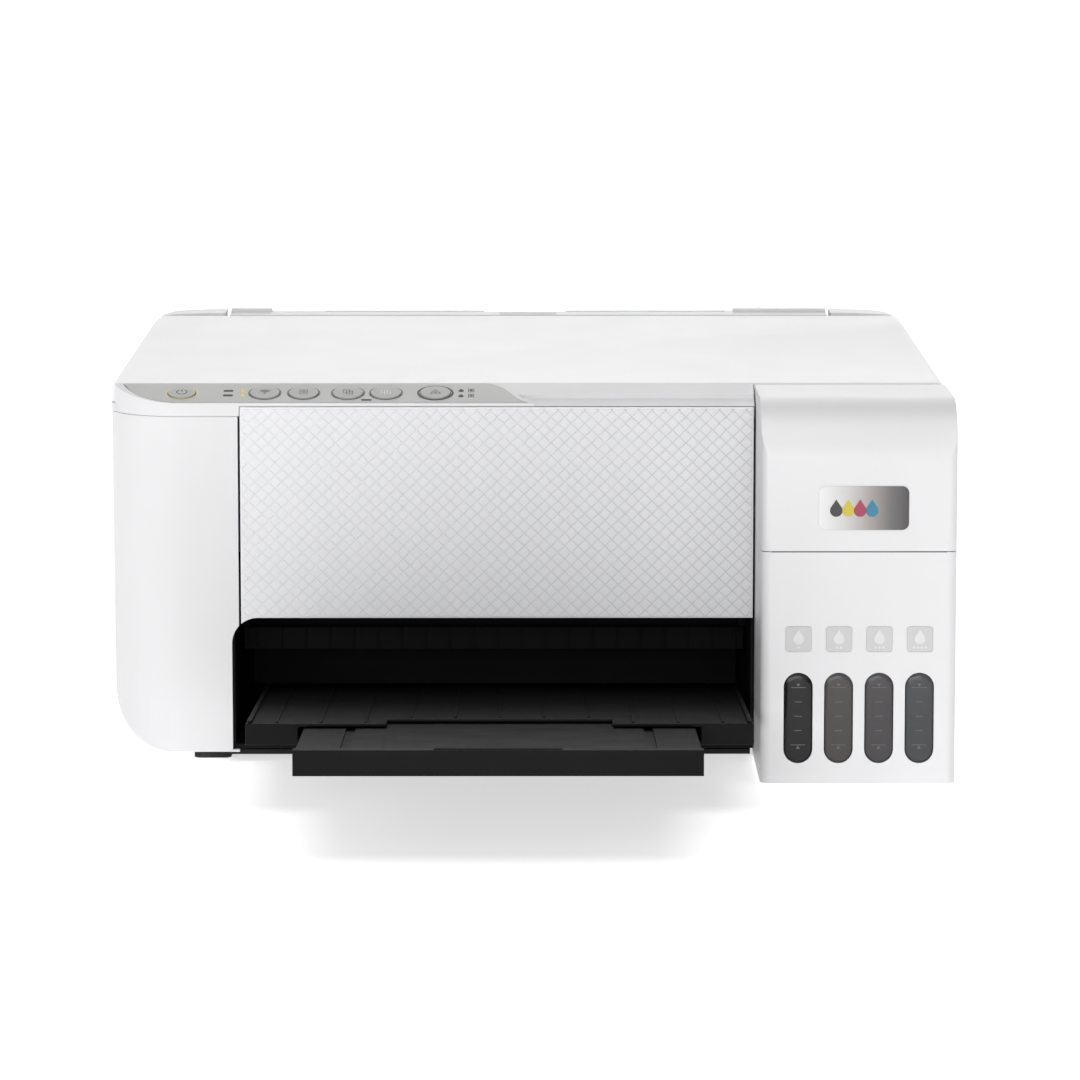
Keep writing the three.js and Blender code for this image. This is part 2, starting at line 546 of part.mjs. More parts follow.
function gearOutline(teeth, phase) {
  const pitch = (GEAR_MODULE * teeth) / 2;
  const step = (2 * Math.PI) / teeth;
  const points = [];
  for (let i = 0; i < teeth; i += 1) {
    for (const [part, radius] of [
      [-0.25, pitch - 1.15 * GEAR_MODULE], [-0.11, pitch + 0.75 * GEAR_MODULE],
      [0.11, pitch + 0.75 * GEAR_MODULE], [0.25, pitch - 1.15 * GEAR_MODULE],
    ]) {
      const angle = phase + (i + part) * step;
      points.push([radius * Math.cos(angle), radius * Math.sin(angle)]);
    }
  }
  return points;
}

function gear(axis, teeth, phase, from, to) {
  const outline = gearOutline(teeth, phase).map(([a, b]) => [a + axis.y, b + axis.z]);
  return prism(polygon(outline), 'yz', from, to);
}

// Phase that puts a tooth gap of the second gear on the line between two gear centres, where
// the first gear has a tooth: both phases are counted from the line's own direction.
const trainAngle = Math.atan2(EJECT_AXIS.z - FEED_AXIS.z, EJECT_AXIS.y - FEED_AXIS.y);
const transferReach = (GEAR_MODULE * (FEED_TEETH + TRANSFER_TEETH)) / 2 + 0.02;
const TRANSFER_AXIS = {
  y: FEED_AXIS.y + transferReach * Math.cos(trainAngle),
  z: FEED_AXIS.z + transferReach * Math.sin(trainAngle),
};
const pinionReach = (GEAR_MODULE * (FEED_TEETH + PINION_TEETH)) / 2 + 0.15;
const PINION_AXIS = {
  y: FEED_AXIS.y + pinionReach * Math.cos(PINION_ANGLE),
  z: FEED_AXIS.z + pinionReach * Math.sin(PINION_ANGLE),
};

function gapFacing(angle, teeth) {
  return angle + Math.PI + Math.PI / teeth;
}

const feedPhase = trainAngle;
const transferPhase = gapFacing(trainAngle, TRANSFER_TEETH);
// The transfer gear has an even tooth count, so its far side shows the same phase to the eject gear.
const ejectPhase = trainAngle + Math.PI;
// Where the feed gear's nearest tooth sits off the line to the pinion, as a share of one step.
const feedStep = (2 * Math.PI) / FEED_TEETH;
const offLine = Math.round((PINION_ANGLE - feedPhase) / feedStep) * feedStep - (PINION_ANGLE - feedPhase);
const pinionPhase = gapFacing(PINION_ANGLE, PINION_TEETH) - (offLine * FEED_TEETH) / PINION_TEETH;

function feedRoller() {
  const roll = rod('x', 6, FEED_AXIS.y, FEED_AXIS.z, -128, 172, 18);
  const shaft = rod('x', 3.5, FEED_AXIS.y, FEED_AXIS.z, -151, 182.5, 12);
  return union(roll, shaft, gear(FEED_AXIS, FEED_TEETH, feedPhase, -150.5, -145));
}

function ejectRoller() {
  const shaft = rod('x', 3, EJECT_AXIS.y, EJECT_AXIS.z, -151, 100, 12);
  const rolls = [-110, -75, -40, -5, 30, 65].map((x) => rod('x', 5, EJECT_AXIS.y, EJECT_AXIS.z, x, x + 12, 14));
  return union(shaft, ...rolls, gear(EJECT_AXIS, EJECT_TEETH, ejectPhase, -150.5, -145));
}

function transferGear() {
  const hub = rod('x', 4, TRANSFER_AXIS.y, TRANSFER_AXIS.z, -152, -144.5, 16);
  const bore = rod('x', 2.1, TRANSFER_AXIS.y, TRANSFER_AXIS.z, -153, -144, 16);
  return cut(gear(TRANSFER_AXIS, TRANSFER_TEETH, transferPhase, -150.5, -145).add(hub), bore);
}

function motorPinion() {
  const shaft = rod('x', 1.5, PINION_AXIS.y, PINION_AXIS.z, -153.5, -149, 12);
  return gear(PINION_AXIS, PINION_TEETH, pinionPhase, -150.8, -144.8).add(shaft);
}

function engineFrame() {
  const leftPlate = prism(polygon([
    [44, 44], [66, 10], [150, 10], [150, 122], [108, 122], [66, 72], [44, 72],
  ]), 'yz', -142, -139.2);
  const rightPlate = prism(polygon([[66, 8], [150, 8], [150, 122], [108, 122], [66, 72]]), 'yz', 181, 183.4);
  const beam = box(-142, 183.4, 142, 150, 10, 16);
  const rail = box(-139.4, 181.2, 128, 130.5, 70, 122);
  const lips = box(-139.4, 181.2, 128, 134, 119.5, 122);
  const stud = rod('x', 1.9, TRANSFER_AXIS.y, TRANSFER_AXIS.z, -152, -141, 12);
  const body = union(leftPlate, rightPlate, beam, rail, lips, stud);
  return cut(body,
    rod('x', 3.7, FEED_AXIS.y, FEED_AXIS.z, -143, 182.9, 16),
    rod('x', 3.2, EJECT_AXIS.y, EJECT_AXIS.z, -143, -138, 16),
    rod('y', 2.4, DRIVE_X, BELT.z, 127, 132, 12),
    rod('y', 2.4, IDLER_X, BELT.z, 127, 132, 12));
}

function platen() {
  const bed = box(-128, 101, 63, 113, 52, 57);
  const ribs = [];
  for (let x = -118; x <= 92; x += 21) ribs.push(box(x, x + 2, 66, 110, 56, 62));
  return union(bed, ...ribs);
}

function pulley(x, shaftEnd) {
  const wheel = rod('y', PULLEY_R, x, BELT.z, BELT.y0 + 0.2, BELT.y1 - 0.2, 24);
  const shaft = rod('y', 2.2, x, BELT.z, BELT.y0 - 0.4, shaftEnd, 16);
  return union(wheel, shaft);
}

function driveBelt() {
  const inner = PULLEY_R + 0.25;
  const loop = (radius) => roundedRect(DRIVE_X - radius, BELT.z - radius, IDLER_X + radius, BELT.z + radius,
    radius - 0.01);
  return cut(prism(loop(inner + BELT.thick), 'xz', BELT.y0, BELT.y1, 6),
    prism(loop(inner), 'xz', BELT.y0 - 1, BELT.y1 + 1, 6));
}

function carriage() {
  const body = prism(polygon([
    [70, 70], [108, 70], [108, 78], [123.8, 78], [123.8, 96], [121, 96], [121, 112], [78, 112], [66, 96], [66, 78],
    [70, 78],
  ]), 'yz', 110, 172);
  const rooms = [112.5, 127.3, 142, 156.8].map((x) => box(x, x + 12.6, 82, 118, 84, 113));
  return cut(body, ...rooms);
}

function cappingStation() {
  const bed = box(112, 170, 72, 112, 36, 52);
  const cup = cut(box(118, 160, 76, 106, 51, 66), box(121, 157, 79, 103, 62, 67));
  return bed.add(cup);
}

function pickupRoller() {
  const tyre = rod('x', 13, PICKUP_AXIS.y, PICKUP_AXIS.z, -38, 8, 28);
  const shaft = rod('x', 3, PICKUP_AXIS.y, PICKUP_AXIS.z, -60, 60, 16);
  return tyre.add(shaft);
}

// ---- rear paper support -----------------------------------------------------------------------
function paperSupport() {
  const top = 177.3;
  const plate = box(SUPPORT_LEFT, SUPPORT_RIGHT, 251, 261, 70, top);
  const leftEar = box(SUPPORT_LEFT, SUPPORT_LEFT + 20, 251, 261, top - 1, top + 1.5);
  const rightEar = box(SUPPORT_RIGHT - 46, SUPPORT_RIGHT, 251, 261, top - 1, top + 1.5);
  const pocket = box(-101, 98, 253.6, 257.9, 73, 190);
  const grip = rod('y', 24, -1.5, 190, 257, 262, 40);
  const pins = rod('x', 2.5, SUPPORT_HINGE.y, SUPPORT_HINGE.z - 0.01, -152.6, 152.6);
  const pinRoom = box(SUPPORT_LEFT + 0.01, SUPPORT_RIGHT - 0.01, 240, 270, 60, 80);
  return union(cut(union(plate, leftEar, rightEar), pocket, grip), cut(pins, pinRoom));
}

function supportExtension() {
  const plate = box(-100.5, 97.5, 254, 257.5, 74, 176.6);
  const ribs = [-70, -1.5, 67].map((x) => box(x - 1.5, x + 1.5, 252, 256, 80, 170));
  return cut(plate, ...ribs);
}

function feederGuard() {
  const plate = box(SUPPORT_LEFT, SUPPORT_RIGHT, LID_REAR_Y + 4.9, 250.4, 174.3, 177.3);
  const pins = rod('x', 1.2, GUARD_HINGE.y, GUARD_HINGE.z, -151.4, 151.4, 12);
  return plate.add(pins);
}

function edgeGuide(x, direction) {
  const outward = (near, far) => [x + near * direction, x + far * direction].sort((a, b) => a - b);
  const fence = box(...outward(0, 3), 239, 249, 102, 170);
  const shoe = box(...outward(2.9, 20), 245.6, 248.6, 102, 126);
  return fence.add(shoe);
}

// ---- electrical pieces --------------------------------------------------------------------------
function powerInlet() {
  const shell = box(133, 157, 240, 258.6, 22, 42);
  const flange = box(134, 156, 238, 241, 23, 41);
  const socket = prism(roundedRect(136.5, 26, 153.5, 38, 5.9), 'xz', 246, 260, 5);
  const contacts = [141, 149].map((x) => rod('y', 1.2, x, 32, 244, 254, 10));
  return union(cut(shell.add(flange), socket), ...contacts);
}

function usbPort() {
  const shell = box(-152, -136, 242, 258.6, 22, 36);
  const mouth = prism(polygon([
    [-148.2, 24.8], [-139.8, 24.8], [-139.8, 30.8], [-141.6, 32.8], [-146.4, 32.8], [-148.2, 30.8],
  ]), 'xz', 248, 260);
  const tongue = box(-146.4, -141.6, 246, 254, 27.4, 30);
  return cut(shell, mouth).add(tongue);
}

function mainBoard() {
  const board = box(-179.5, -177.9, 60, 210, 34, 122);
  const chips = [[80, 60, 24], [120, 90, 18], [160, 60, 30]].map(([y, z, size]) => box(
    -178, -175.4, y, y + size, z, z + size));
  return union(board, ...chips);
}

function powerSupply() {
  const housing = box(114, 178, 152, 226, 9, 60);
  const fins = [160, 172, 184, 196, 208].map((y) => box(120, 172, y, y + 4, 58, 61));
  return cut(housing, ...fins);
}

// ---- assembly -------------------------------------------------------------------------------------
node('base_pan', basePan(), BLACK);
node('left_housing', leftHousing(), WHITE);
node('right_housing', rightHousing(), WHITE);
node('rear_housing', rearHousing(), WHITE);
node('tank_housing', tankHousing(), WHITE);
node('foot_front_left', foot(-150.7, -134, -13, 4, BODY_BOTTOM_Z), RUBBER);
node('foot_front_right', foot(140, 157, -72, -55, TANK.bottom), RUBBER);
node('foot_rear_left', foot(-160, -143, 236, 253, BODY_BOTTOM_Z), RUBBER);
node('foot_rear_right', foot(143, 160, 236, 253, BODY_BOTTOM_Z), RUBBER);

INKS.forEach((ink, i) => {
  const look = { color: ink.color, roughness: 0.25, metalness: 0 };
  node(`ink_tank_${ink.name}`, inkTank(tankX[i]), look);
  node(`tank_cap_${ink.name}`, tankCap(tankX[i]), look);
});
node('tank_cover', tankCover(), WHITE);

node('scanner_housing', scannerHousing(), WHITE);
node('control_housing', controlHousing(), WHITE);
node('control_strip', controlStrip(), STRIP_GREY);
for (const b of BUTTONS) {
  node(`button_${b.name}`, slopeRod(b.x, b.r, -3, 0.6, 24), BUTTON_GREY);
}
node('front_panel', frontPanel(), WHITE);
node('scanner_glass', box(-161.6, 161.6, 8.4, 217.6, 157.3, GLASS_TOP_Z), GLASS);
node('scan_bar', box(-160, -146, 14, 218, 138, 154), BLACK);
node('document_cover', documentCover(), LID_WHITE);
node('document_pad', box(-159, 159, 11, 213, 161, 165.6), FELT);

node('paper_chute', paperChute(), BLACK);
node('output_tray', outputTray(), BLACK);
node('tray_extension', trayExtension(), BLACK);
node('paper_stopper', paperStopper(), BLACK);
node('engine_frame', engineFrame(), STEEL);
node('platen', platen(), BLACK);
node('feed_roller', feedRoller(), STEEL);
node('eject_roller', ejectRoller(), RUBBER);
node('transfer_gear', transferGear(), NATURAL);
node('motor_pinion', motorPinion(), NATURAL);
node('feed_motor', rod('x', 13, PINION_AXIS.y, PINION_AXIS.z, -175, -153.8, 24), STEEL);
node('carriage', carriage(), BLACK);
node('drive_pulley', pulley(DRIVE_X, 132), NATURAL);
node('idler_pulley', pulley(IDLER_X, 134), NATURAL);
node('drive_belt', driveBelt(), RUBBER);
node('carriage_motor', rod('y', 10.8, DRIVE_X, BELT.z, 134.3, 158, 24), STEEL);
node('capping_station', cappingStation(), BLACK);
node('waste_ink_pad', box(112, 178, 64, 140, 8, 34), FELT);
node('pickup_roller', pickupRoller(), RUBBER);

node('paper_support', paperSupport(), WHITE);
node('support_extension', supportExtension(), WHITE);
node('feeder_guard', feederGuard(), WHITE);
node('edge_guide_left', edgeGuide(-118, -1), STRIP_GREY);
node('edge_guide_right', edgeGuide(92, 1), STRIP_GREY);

node('power_inlet', powerInlet(), BLACK);
node('usb_port', usbPort(), BLACK);
node('main_board', mainBoard(), BOARD_GREEN);
node('power_supply', powerSupply(), BLACK);

export default printer;
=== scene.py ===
"""Looks of an inkjet printer with a front ink tank unit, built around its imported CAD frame.

The CAD nodes keep their shapes and get edge bevels and moulded materials. Relief, symbols, lenses,
ribs, wheels, vents and other fine pieces are added here. Every added piece rides on a CAD body.
"""
import json
import math

import bmesh
import bpy
from mathutils import Matrix, Vector


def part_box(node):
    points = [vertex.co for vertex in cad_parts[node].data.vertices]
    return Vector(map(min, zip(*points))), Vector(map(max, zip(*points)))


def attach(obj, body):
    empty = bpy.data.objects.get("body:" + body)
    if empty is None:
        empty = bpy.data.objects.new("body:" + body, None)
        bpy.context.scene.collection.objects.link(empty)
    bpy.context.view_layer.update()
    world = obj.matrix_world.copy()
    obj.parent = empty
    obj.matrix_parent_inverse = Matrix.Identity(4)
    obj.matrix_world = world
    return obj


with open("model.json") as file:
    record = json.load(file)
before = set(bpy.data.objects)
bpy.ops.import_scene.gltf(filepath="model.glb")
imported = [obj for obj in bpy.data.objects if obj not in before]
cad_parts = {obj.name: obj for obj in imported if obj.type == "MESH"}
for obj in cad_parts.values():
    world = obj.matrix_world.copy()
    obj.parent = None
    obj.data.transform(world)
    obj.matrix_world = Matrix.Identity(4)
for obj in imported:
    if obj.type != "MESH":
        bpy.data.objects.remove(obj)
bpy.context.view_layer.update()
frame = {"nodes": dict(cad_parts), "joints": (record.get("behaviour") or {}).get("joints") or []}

MM = 0.001
NODES = frame["nodes"]
JOINTS = {joint["name"]: joint for joint in frame["joints"]}
INKS = ("black", "yellow", "magenta", "cyan")
BUTTONS = ("power", "network", "info", "copy_mono", "copy_colour", "stop")
SLOT_TOP = 65.8 * MM  # height of the output slot under the front panel


# ---- node materials ----
class Shader:
    """A material's node tree with a Principled shader and object coordinates in metres."""

    def __init__(self, name):
        self.material = bpy.data.materials.new(name)
        self.material.use_nodes = True
        self.tree = self.material.node_tree
        self.tree.nodes.clear()
        self.out = self.add("ShaderNodeOutputMaterial")
        self.bsdf = self.add("ShaderNodeBsdfPrincipled")
        self.link(self.bsdf.outputs["BSDF"], self.out.inputs["Surface"])
        self.coords = self.add("ShaderNodeTexCoord").outputs["Object"]

    def add(self, kind, **inputs):
        node = self.tree.nodes.new(kind)
        for key, value in inputs.items():
            node.inputs[key.replace("_", " ")].default_value = value
        return node

    def link(self, source, target):
        self.tree.links.new(source, target)

    def noise(self, scale, detail=2.0, stretch=(1, 1, 1)):
        mapping = self.add("ShaderNodeMapping", Scale=stretch)
        self.link(self.coords, mapping.inputs["Vector"])
        node = self.add("ShaderNodeTexNoise", Scale=scale, Detail=detail, Roughness=0.55)
        self.link(mapping.outputs["Vector"], node.inputs["Vector"])
        return node.outputs["Fac"]

    def ramp(self, source, stops):
        node = self.add("ShaderNodeValToRGB")
        elements = node.color_ramp.elements
        while len(elements) < len(stops):
            elements.new(0.5)
        for element, (place, colour) in zip(elements, stops):
            element.position = place
            element.color = (*colour, 1)
        self.link(source, node.inputs["Fac"])
        return node.outputs["Color"]

    def along(self, axis, low, high):
        """0 to 1 from low to high along one of the object's axes."""
        split = self.add("ShaderNodeSeparateXYZ")
        self.link(self.coords, split.inputs["Vector"])
        share = self.add("ShaderNodeMapRange", From_Min=low, From_Max=high)
        self.link(split.outputs[axis], share.inputs["Value"])
        return share.outputs["Result"]

    def spread(self, source, low, high):
        node = self.add("ShaderNodeMapRange", To_Min=low, To_Max=high)
        self.link(source, node.inputs["Value"])
        return node.outputs["Result"]

    def bump(self, source, height, strength=1.0, below=None):
        node = self.add("ShaderNodeBump", Strength=strength, Distance=height)
        self.link(source, node.inputs["Height"])
        if below is not None:
            self.link(below, node.inputs["Normal"])
        return node.outputs["Normal"]


def shade(colour, factor):
    return tuple(min(1.0, c * factor) for c in colour)


def plastic(name, colour, rough=0.4, grain=0.6, depth=0.012, mottle=0.025, coat=0.0, gloss=0.45):
    """Moulded plastic: a fine spark-eroded grain, faint flow mottling and uneven gloss."""
    s = Shader(name)
    s.bsdf.inputs["Specular IOR Level"].default_value = gloss
    s.bsdf.inputs["Coat Weight"].default_value = coat
    s.bsdf.inputs["Coat Roughness"].default_value = 0.12
    flow = s.noise(14, 3, (1, 1, 0.4))
    s.link(s.ramp(flow, [(0.3, shade(colour, 1 - mottle)), (0.7, shade(colour, 1 + mottle))]),
           s.bsdf.inputs["Base Color"])
    s.link(s.spread(s.noise(60, 4), rough - 0.06, rough + 0.08), s.bsdf.inputs["Roughness"])
    soft = s.bump(s.noise(9, 1), 0.05 * MM, 0.25)
    s.link(s.bump(s.noise(1 / (grain * MM), 2), depth * MM, 0.6, soft), s.bsdf.inputs["Normal"])
    return s.material


def metal(name, colour, rough=0.32, stretch=(1, 30, 30)):
    """Rolled or turned steel, with fine lines along X unless stretch says otherwise."""
    s = Shader(name)
    s.bsdf.inputs["Metallic"].default_value = 1.0
    lines = s.noise(90, 3, stretch)
    s.link(s.ramp(lines, [(0.3, shade(colour, 0.82)), (0.7, shade(colour, 1.08))]),
           s.bsdf.inputs["Base Color"])
    s.link(s.spread(s.noise(40, 4), rough - 0.08, rough + 0.12), s.bsdf.inputs["Roughness"])
    s.link(s.bump(lines, 0.01 * MM, 0.5), s.bsdf.inputs["Normal"])
    return s.material


def rubber(name, colour=(0.02, 0.02, 0.021), rough=0.8):
    s = Shader(name)
    s.bsdf.inputs["Specular IOR Level"].default_value = 0.3
    dust = s.noise(120, 5)
    s.link(s.ramp(dust, [(0.35, colour), (0.75, shade(colour, 1.7))]), s.bsdf.inputs["Base Color"])
    s.link(s.spread(s.noise(50, 2), rough - 0.1, rough + 0.1), s.bsdf.inputs["Roughness"])
    s.link(s.bump(s.noise(1500, 2), 0.03 * MM, 0.7), s.bsdf.inputs["Normal"])
    return s.material


def felt(name, colour):
    """Pressed fibre or foam: open cells, no gloss."""
    s = Shader(name)
    s.bsdf.inputs["Specular IOR Level"].default_value = 0.1
    s.bsdf.inputs["Sheen Weight"].default_value = 0.2
    s.bsdf.inputs["Roughness"].default_value = 0.95
    fibre = s.noise(700, 6)
    s.link(s.ramp(fibre, [(0.3, shade(colour, 0.85)), (0.7, shade(colour, 1.05))]),
           s.bsdf.inputs["Base Color"])
    s.link(s.bump(fibre, 0.12 * MM, 0.8), s.bsdf.inputs["Normal"])
    return s.material


def ink_lens(name, ink, empty, low_z, high_z):
    """Smoked clear window: ink up to a level, empty tank above it, under a glossy surface."""
    s = Shader(name)
    s.bsdf.inputs["Coat Weight"].default_value = 0.2
    s.bsdf.inputs["Coat Roughness"].default_value = 0.06
    s.bsdf.inputs["Specular IOR Level"].default_value = 0.25
    swirl = s.add("ShaderNodeMath")
    swirl.operation = "MULTIPLY_ADD"
    swirl.inputs[1].default_value = 0.05
    s.link(s.noise(220, 3), swirl.inputs[0])
    s.link(s.along("Z", low_z, high_z), swirl.inputs[2])
    levels = [(0.0, shade(ink, 0.9)), (0.55, ink), (0.93, shade(ink, 1.15)), (0.97, empty)]
    s.link(s.ramp(swirl.outputs["Value"], levels), s.bsdf.inputs["Base Color"])
    s.link(s.spread(s.noise(90, 3), 0.16, 0.3), s.bsdf.inputs["Roughness"])
    s.link(s.bump(s.noise(300, 2), 0.01 * MM, 0.5), s.bsdf.inputs["Normal"])
    return s.material


def badge_finish(name, low_x, high_x):
    """Metallised plate that runs from pale to dark across its width."""
    s = Shader(name)
    s.bsdf.inputs["Metallic"].default_value = 0.35
    s.bsdf.inputs["Coat Weight"].default_value = 0.3
    greys = [(0.0, (0.70, 0.70, 0.70)), (0.3, (0.52, 0.52, 0.51)), (0.55, (0.33, 0.30, 0.29)),
             (0.8, (0.13, 0.125, 0.125)), (1.0, (0.06, 0.055, 0.06))]
    s.link(s.ramp(s.along("X", low_x, high_x), greys), s.bsdf.inputs["Base Color"])
    s.link(s.spread(s.noise(200, 3, (1, 1, 12)), 0.25, 0.38), s.bsdf.inputs["Roughness"])
    s.link(s.bump(s.noise(900, 1, (1, 1, 20)), 0.004 * MM, 0.5), s.bsdf.inputs["Normal"])
    return s.material


def clear_glass(name):
    s = Shader(name)
    s.bsdf.inputs["Base Color"].default_value = (0.86, 0.93, 0.91, 1)
    s.bsdf.inputs["Transmission Weight"].default_value = 0.9
    s.bsdf.inputs["IOR"].default_value = 1.5
    s.link(s.spread(s.noise(25, 5), 0.01, 0.06), s.bsdf.inputs["Roughness"])
    return s.material


def lamp(name, colour, strength):
    """Light pipe: coloured translucent plastic with a lit core."""
    s = Shader(name)
    s.bsdf.inputs["Base Color"].default_value = (*colour, 1)
    s.bsdf.inputs["Emission Color"].default_value = (*colour, 1)
    s.link(s.spread(s.noise(800, 2), strength * 0.7, strength), s.bsdf.inputs["Emission Strength"])
    s.link(s.spread(s.noise(300, 2), 0.25, 0.4), s.bsdf.inputs["Roughness"])
    return s.material


WHITE = plastic("white_shell", (0.77, 0.77, 0.78), 0.38)
LID = plastic("lid_white", (0.83, 0.83, 0.845), 0.34)
# The panel white is lighter than the shell white as painted light, offsetting the shade that the tank unit
# and tray cast on the panel; its finer grain is its own.
PANEL_WHITE_PAINTED_LIGHT = plastic("panel_white_painted_light", (0.81, 0.81, 0.825), 0.36, depth=0.006)
BLACK = plastic("black_plastic", (0.0065, 0.0065, 0.007), 0.5, grain=0.4, depth=0.02, mottle=0.12,
                gloss=0.09)
ENGINE_BLACK = plastic("engine_black", (0.012, 0.012, 0.013), 0.55, mottle=0.15, gloss=0.18)
STRIP = plastic("strip_grey", (0.43, 0.425, 0.42), 0.3, grain=0.35, depth=0.006, mottle=0.04, coat=0.25)
KEY = plastic("key_grey", (0.44, 0.435, 0.43), 0.36, mottle=0.03)
PRINT_DARK = plastic("printed_dark", (0.05, 0.045, 0.042), 0.5, mottle=0.1)
PRINT_PALE = plastic("printed_pale", (0.78, 0.79, 0.78), 0.45)
LABEL = plastic("label_grey", (0.60, 0.60, 0.60), 0.45)
LABEL_MARK = plastic("label_mark", (0.74, 0.74, 0.74), 0.4)
# Near-black for seams, slots and screw recesses: painted shade standing for the dark inside them.
PAINTED_GAP_SHADE = plastic("painted_gap_shade", (0.006, 0.006, 0.006), 0.7, gloss=0.1)
NATURAL = plastic("natural_plastic", (0.74, 0.71, 0.62), 0.42, mottle=0.05)
BOARD = plastic("solder_mask", (0.015, 0.11, 0.04), 0.35, grain=1.2, depth=0.03, mottle=0.25)
STEEL = metal("rolled_steel", (0.56, 0.57, 0.59))
TURNED = metal("turned_steel", (0.62, 0.62, 0.64), 0.25, (1, 1, 40))
RUBBER = rubber("rubber")
GLOSS_BLACK = plastic("gloss_black", (0.01, 0.01, 0.012), 0.12, depth=0.002, gloss=0.5)
MARK = plastic("level_mark", (0.13, 0.13, 0.13), 0.4)
FOAM = felt("white_foam", (0.84, 0.84, 0.83))
PAD = felt("ink_felt", (0.6, 0.58, 0.54))
GLASS = clear_glass("scanner_glass_clear")
AMBER = lamp("amber_light", (0.62, 0.50, 0.04), 0.25)
INK_COLOURS = {
    "black": (0.010, 0.010, 0.012),
    "yellow": (0.090, 0.084, 0.078),
    "magenta": (0.086, 0.078, 0.084),
    "cyan": (0.078, 0.082, 0.088),
}
CAP_COLOURS = {
    "black": (0.03, 0.03, 0.032),
    "yellow": (0.62, 0.52, 0.05),
    "magenta": (0.5, 0.06, 0.22),
    "cyan": (0.03, 0.3, 0.5),
}
CAPS = {ink: plastic(f"cap_{ink}", CAP_COLOURS[ink], 0.4, mottle=0.06) for ink in INKS}
TANKS = {ink: plastic(f"tank_{ink}", INK_COLOURS[ink], 0.2, depth=0.004, coat=0.4) for ink in INKS}


# ---- finishing the CAD nodes ----
def dress(name, material, bevel):
    """Give a CAD node its material, joined smooth faces and softened edges."""
    piece = NODES[name]
    mesh = piece.data
    mesh.materials.clear()
    mesh.materials.append(material)
    if "custom_normal" in mesh.attributes:
        mesh.attributes.remove(mesh.attributes["custom_normal"])
    for face in mesh.polygons:
        face.use_smooth = True
    weld = piece.modifiers.new("weld", "WELD")
    weld.merge_threshold = 0.002 * MM
    soften = piece.modifiers.new("soften", "BEVEL")
    soften.limit_method = "ANGLE"
    soften.angle_limit = math.radians(32)
    soften.width = bevel * MM
    soften.segments = 2
    soften.use_clamp_overlap = True
    even = piece.modifiers.new("even", "WEIGHTED_NORMAL")
    even.weight = 100


LOOKS = {
    "left_housing": (WHITE, 0.2), "right_housing": (WHITE, 0.5), "rear_housing": (WHITE, 0.6),
    "tank_housing": (WHITE, 0.35), "tank_cover": (WHITE, 0.45), "scanner_housing": (WHITE, 0.4),
    "control_housing": (WHITE, 0.2), "front_panel": (PANEL_WHITE_PAINTED_LIGHT, 0.4), "document_cover": (LID, 0.7),
    "paper_support": (WHITE, 0.7), "support_extension": (WHITE, 0.5), "feeder_guard": (WHITE, 0.5),
    "edge_guide_left": (KEY, 0.5), "edge_guide_right": (KEY, 0.5), "control_strip": (STRIP, 0.1),
    "base_pan": (ENGINE_BLACK, 0.4), "paper_chute": (BLACK, 0.3), "output_tray": (BLACK, 0.5),
    "tray_extension": (BLACK, 0.5), "paper_stopper": (BLACK, 0.3), "platen": (ENGINE_BLACK, 0.3),
    "carriage": (ENGINE_BLACK, 0.8), "capping_station": (ENGINE_BLACK, 0.5),
    "power_inlet": (ENGINE_BLACK, 0.3), "usb_port": (ENGINE_BLACK, 0.2),
    "power_supply": (ENGINE_BLACK, 0.8), "scan_bar": (ENGINE_BLACK, 0.8),
    "engine_frame": (STEEL, 0.25), "feed_roller": (TURNED, 0.15),
    "feed_motor": (STEEL, 0.8), "carriage_motor": (STEEL, 0.8), "eject_roller": (RUBBER, 0.2),
    "drive_belt": (RUBBER, 0.1), "pickup_roller": (RUBBER, 0.5), "transfer_gear": (NATURAL, 0.1),
    "motor_pinion": (NATURAL, 0.1), "drive_pulley": (NATURAL, 0.2), "idler_pulley": (NATURAL, 0.2),
    "scanner_glass": (GLASS, 0.2), "document_pad": (FOAM, 0.8), "waste_ink_pad": (PAD, 1.0),
    "main_board": (BOARD, 0.1),
}
for corner in ("front_left", "front_right", "rear_left", "rear_right"):
    LOOKS[f"foot_{corner}"] = (RUBBER, 0.6)
for ink in INKS:
    LOOKS[f"ink_tank_{ink}"] = (TANKS[ink], 0.5)
    LOOKS[f"tank_cap_{ink}"] = (CAPS[ink], 0.6)
for button in BUTTONS:
    LOOKS[f"button_{button}"] = (KEY, 0.25)
for node_name, (look, edge) in LOOKS.items():
    dress(node_name, look, edge)


# ---- building new pieces ----
def front_frame(y):
    """x to the right, y up, z out of a front face at depth y."""
    return Matrix(((1, 0, 0, 0), (0, 0, -1, y), (0, 1, 0, 0), (0, 0, 0, 1)))


def back_frame(y):
    """x to the left as seen from behind, y up, z out of a back face at depth y."""
    return Matrix(((-1, 0, 0, 0), (0, 0, 1, y), (0, 1, 0, 0), (0, 0, 0, 1)))


def top_frame(z):
    """x to the right, y back, z up from height z."""
    return Matrix.Translation((0, 0, z))


def bottom_frame(z):
    """x to the left, y back, z downwards."""
    return Matrix(((-1, 0, 0, 0), (0, 1, 0, 0), (0, 0, -1, z), (0, 0, 0, 1)))


def side_frame():
    """x back, y up, z to the right."""
    return Matrix(((0, 0, 1, 0), (1, 0, 0, 0), (0, 1, 0, 0), (0, 0, 0, 1)))


def box_mm(name):
    """Lowest and highest corner of a CAD node, in millimetres."""
    return [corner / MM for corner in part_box(name)]


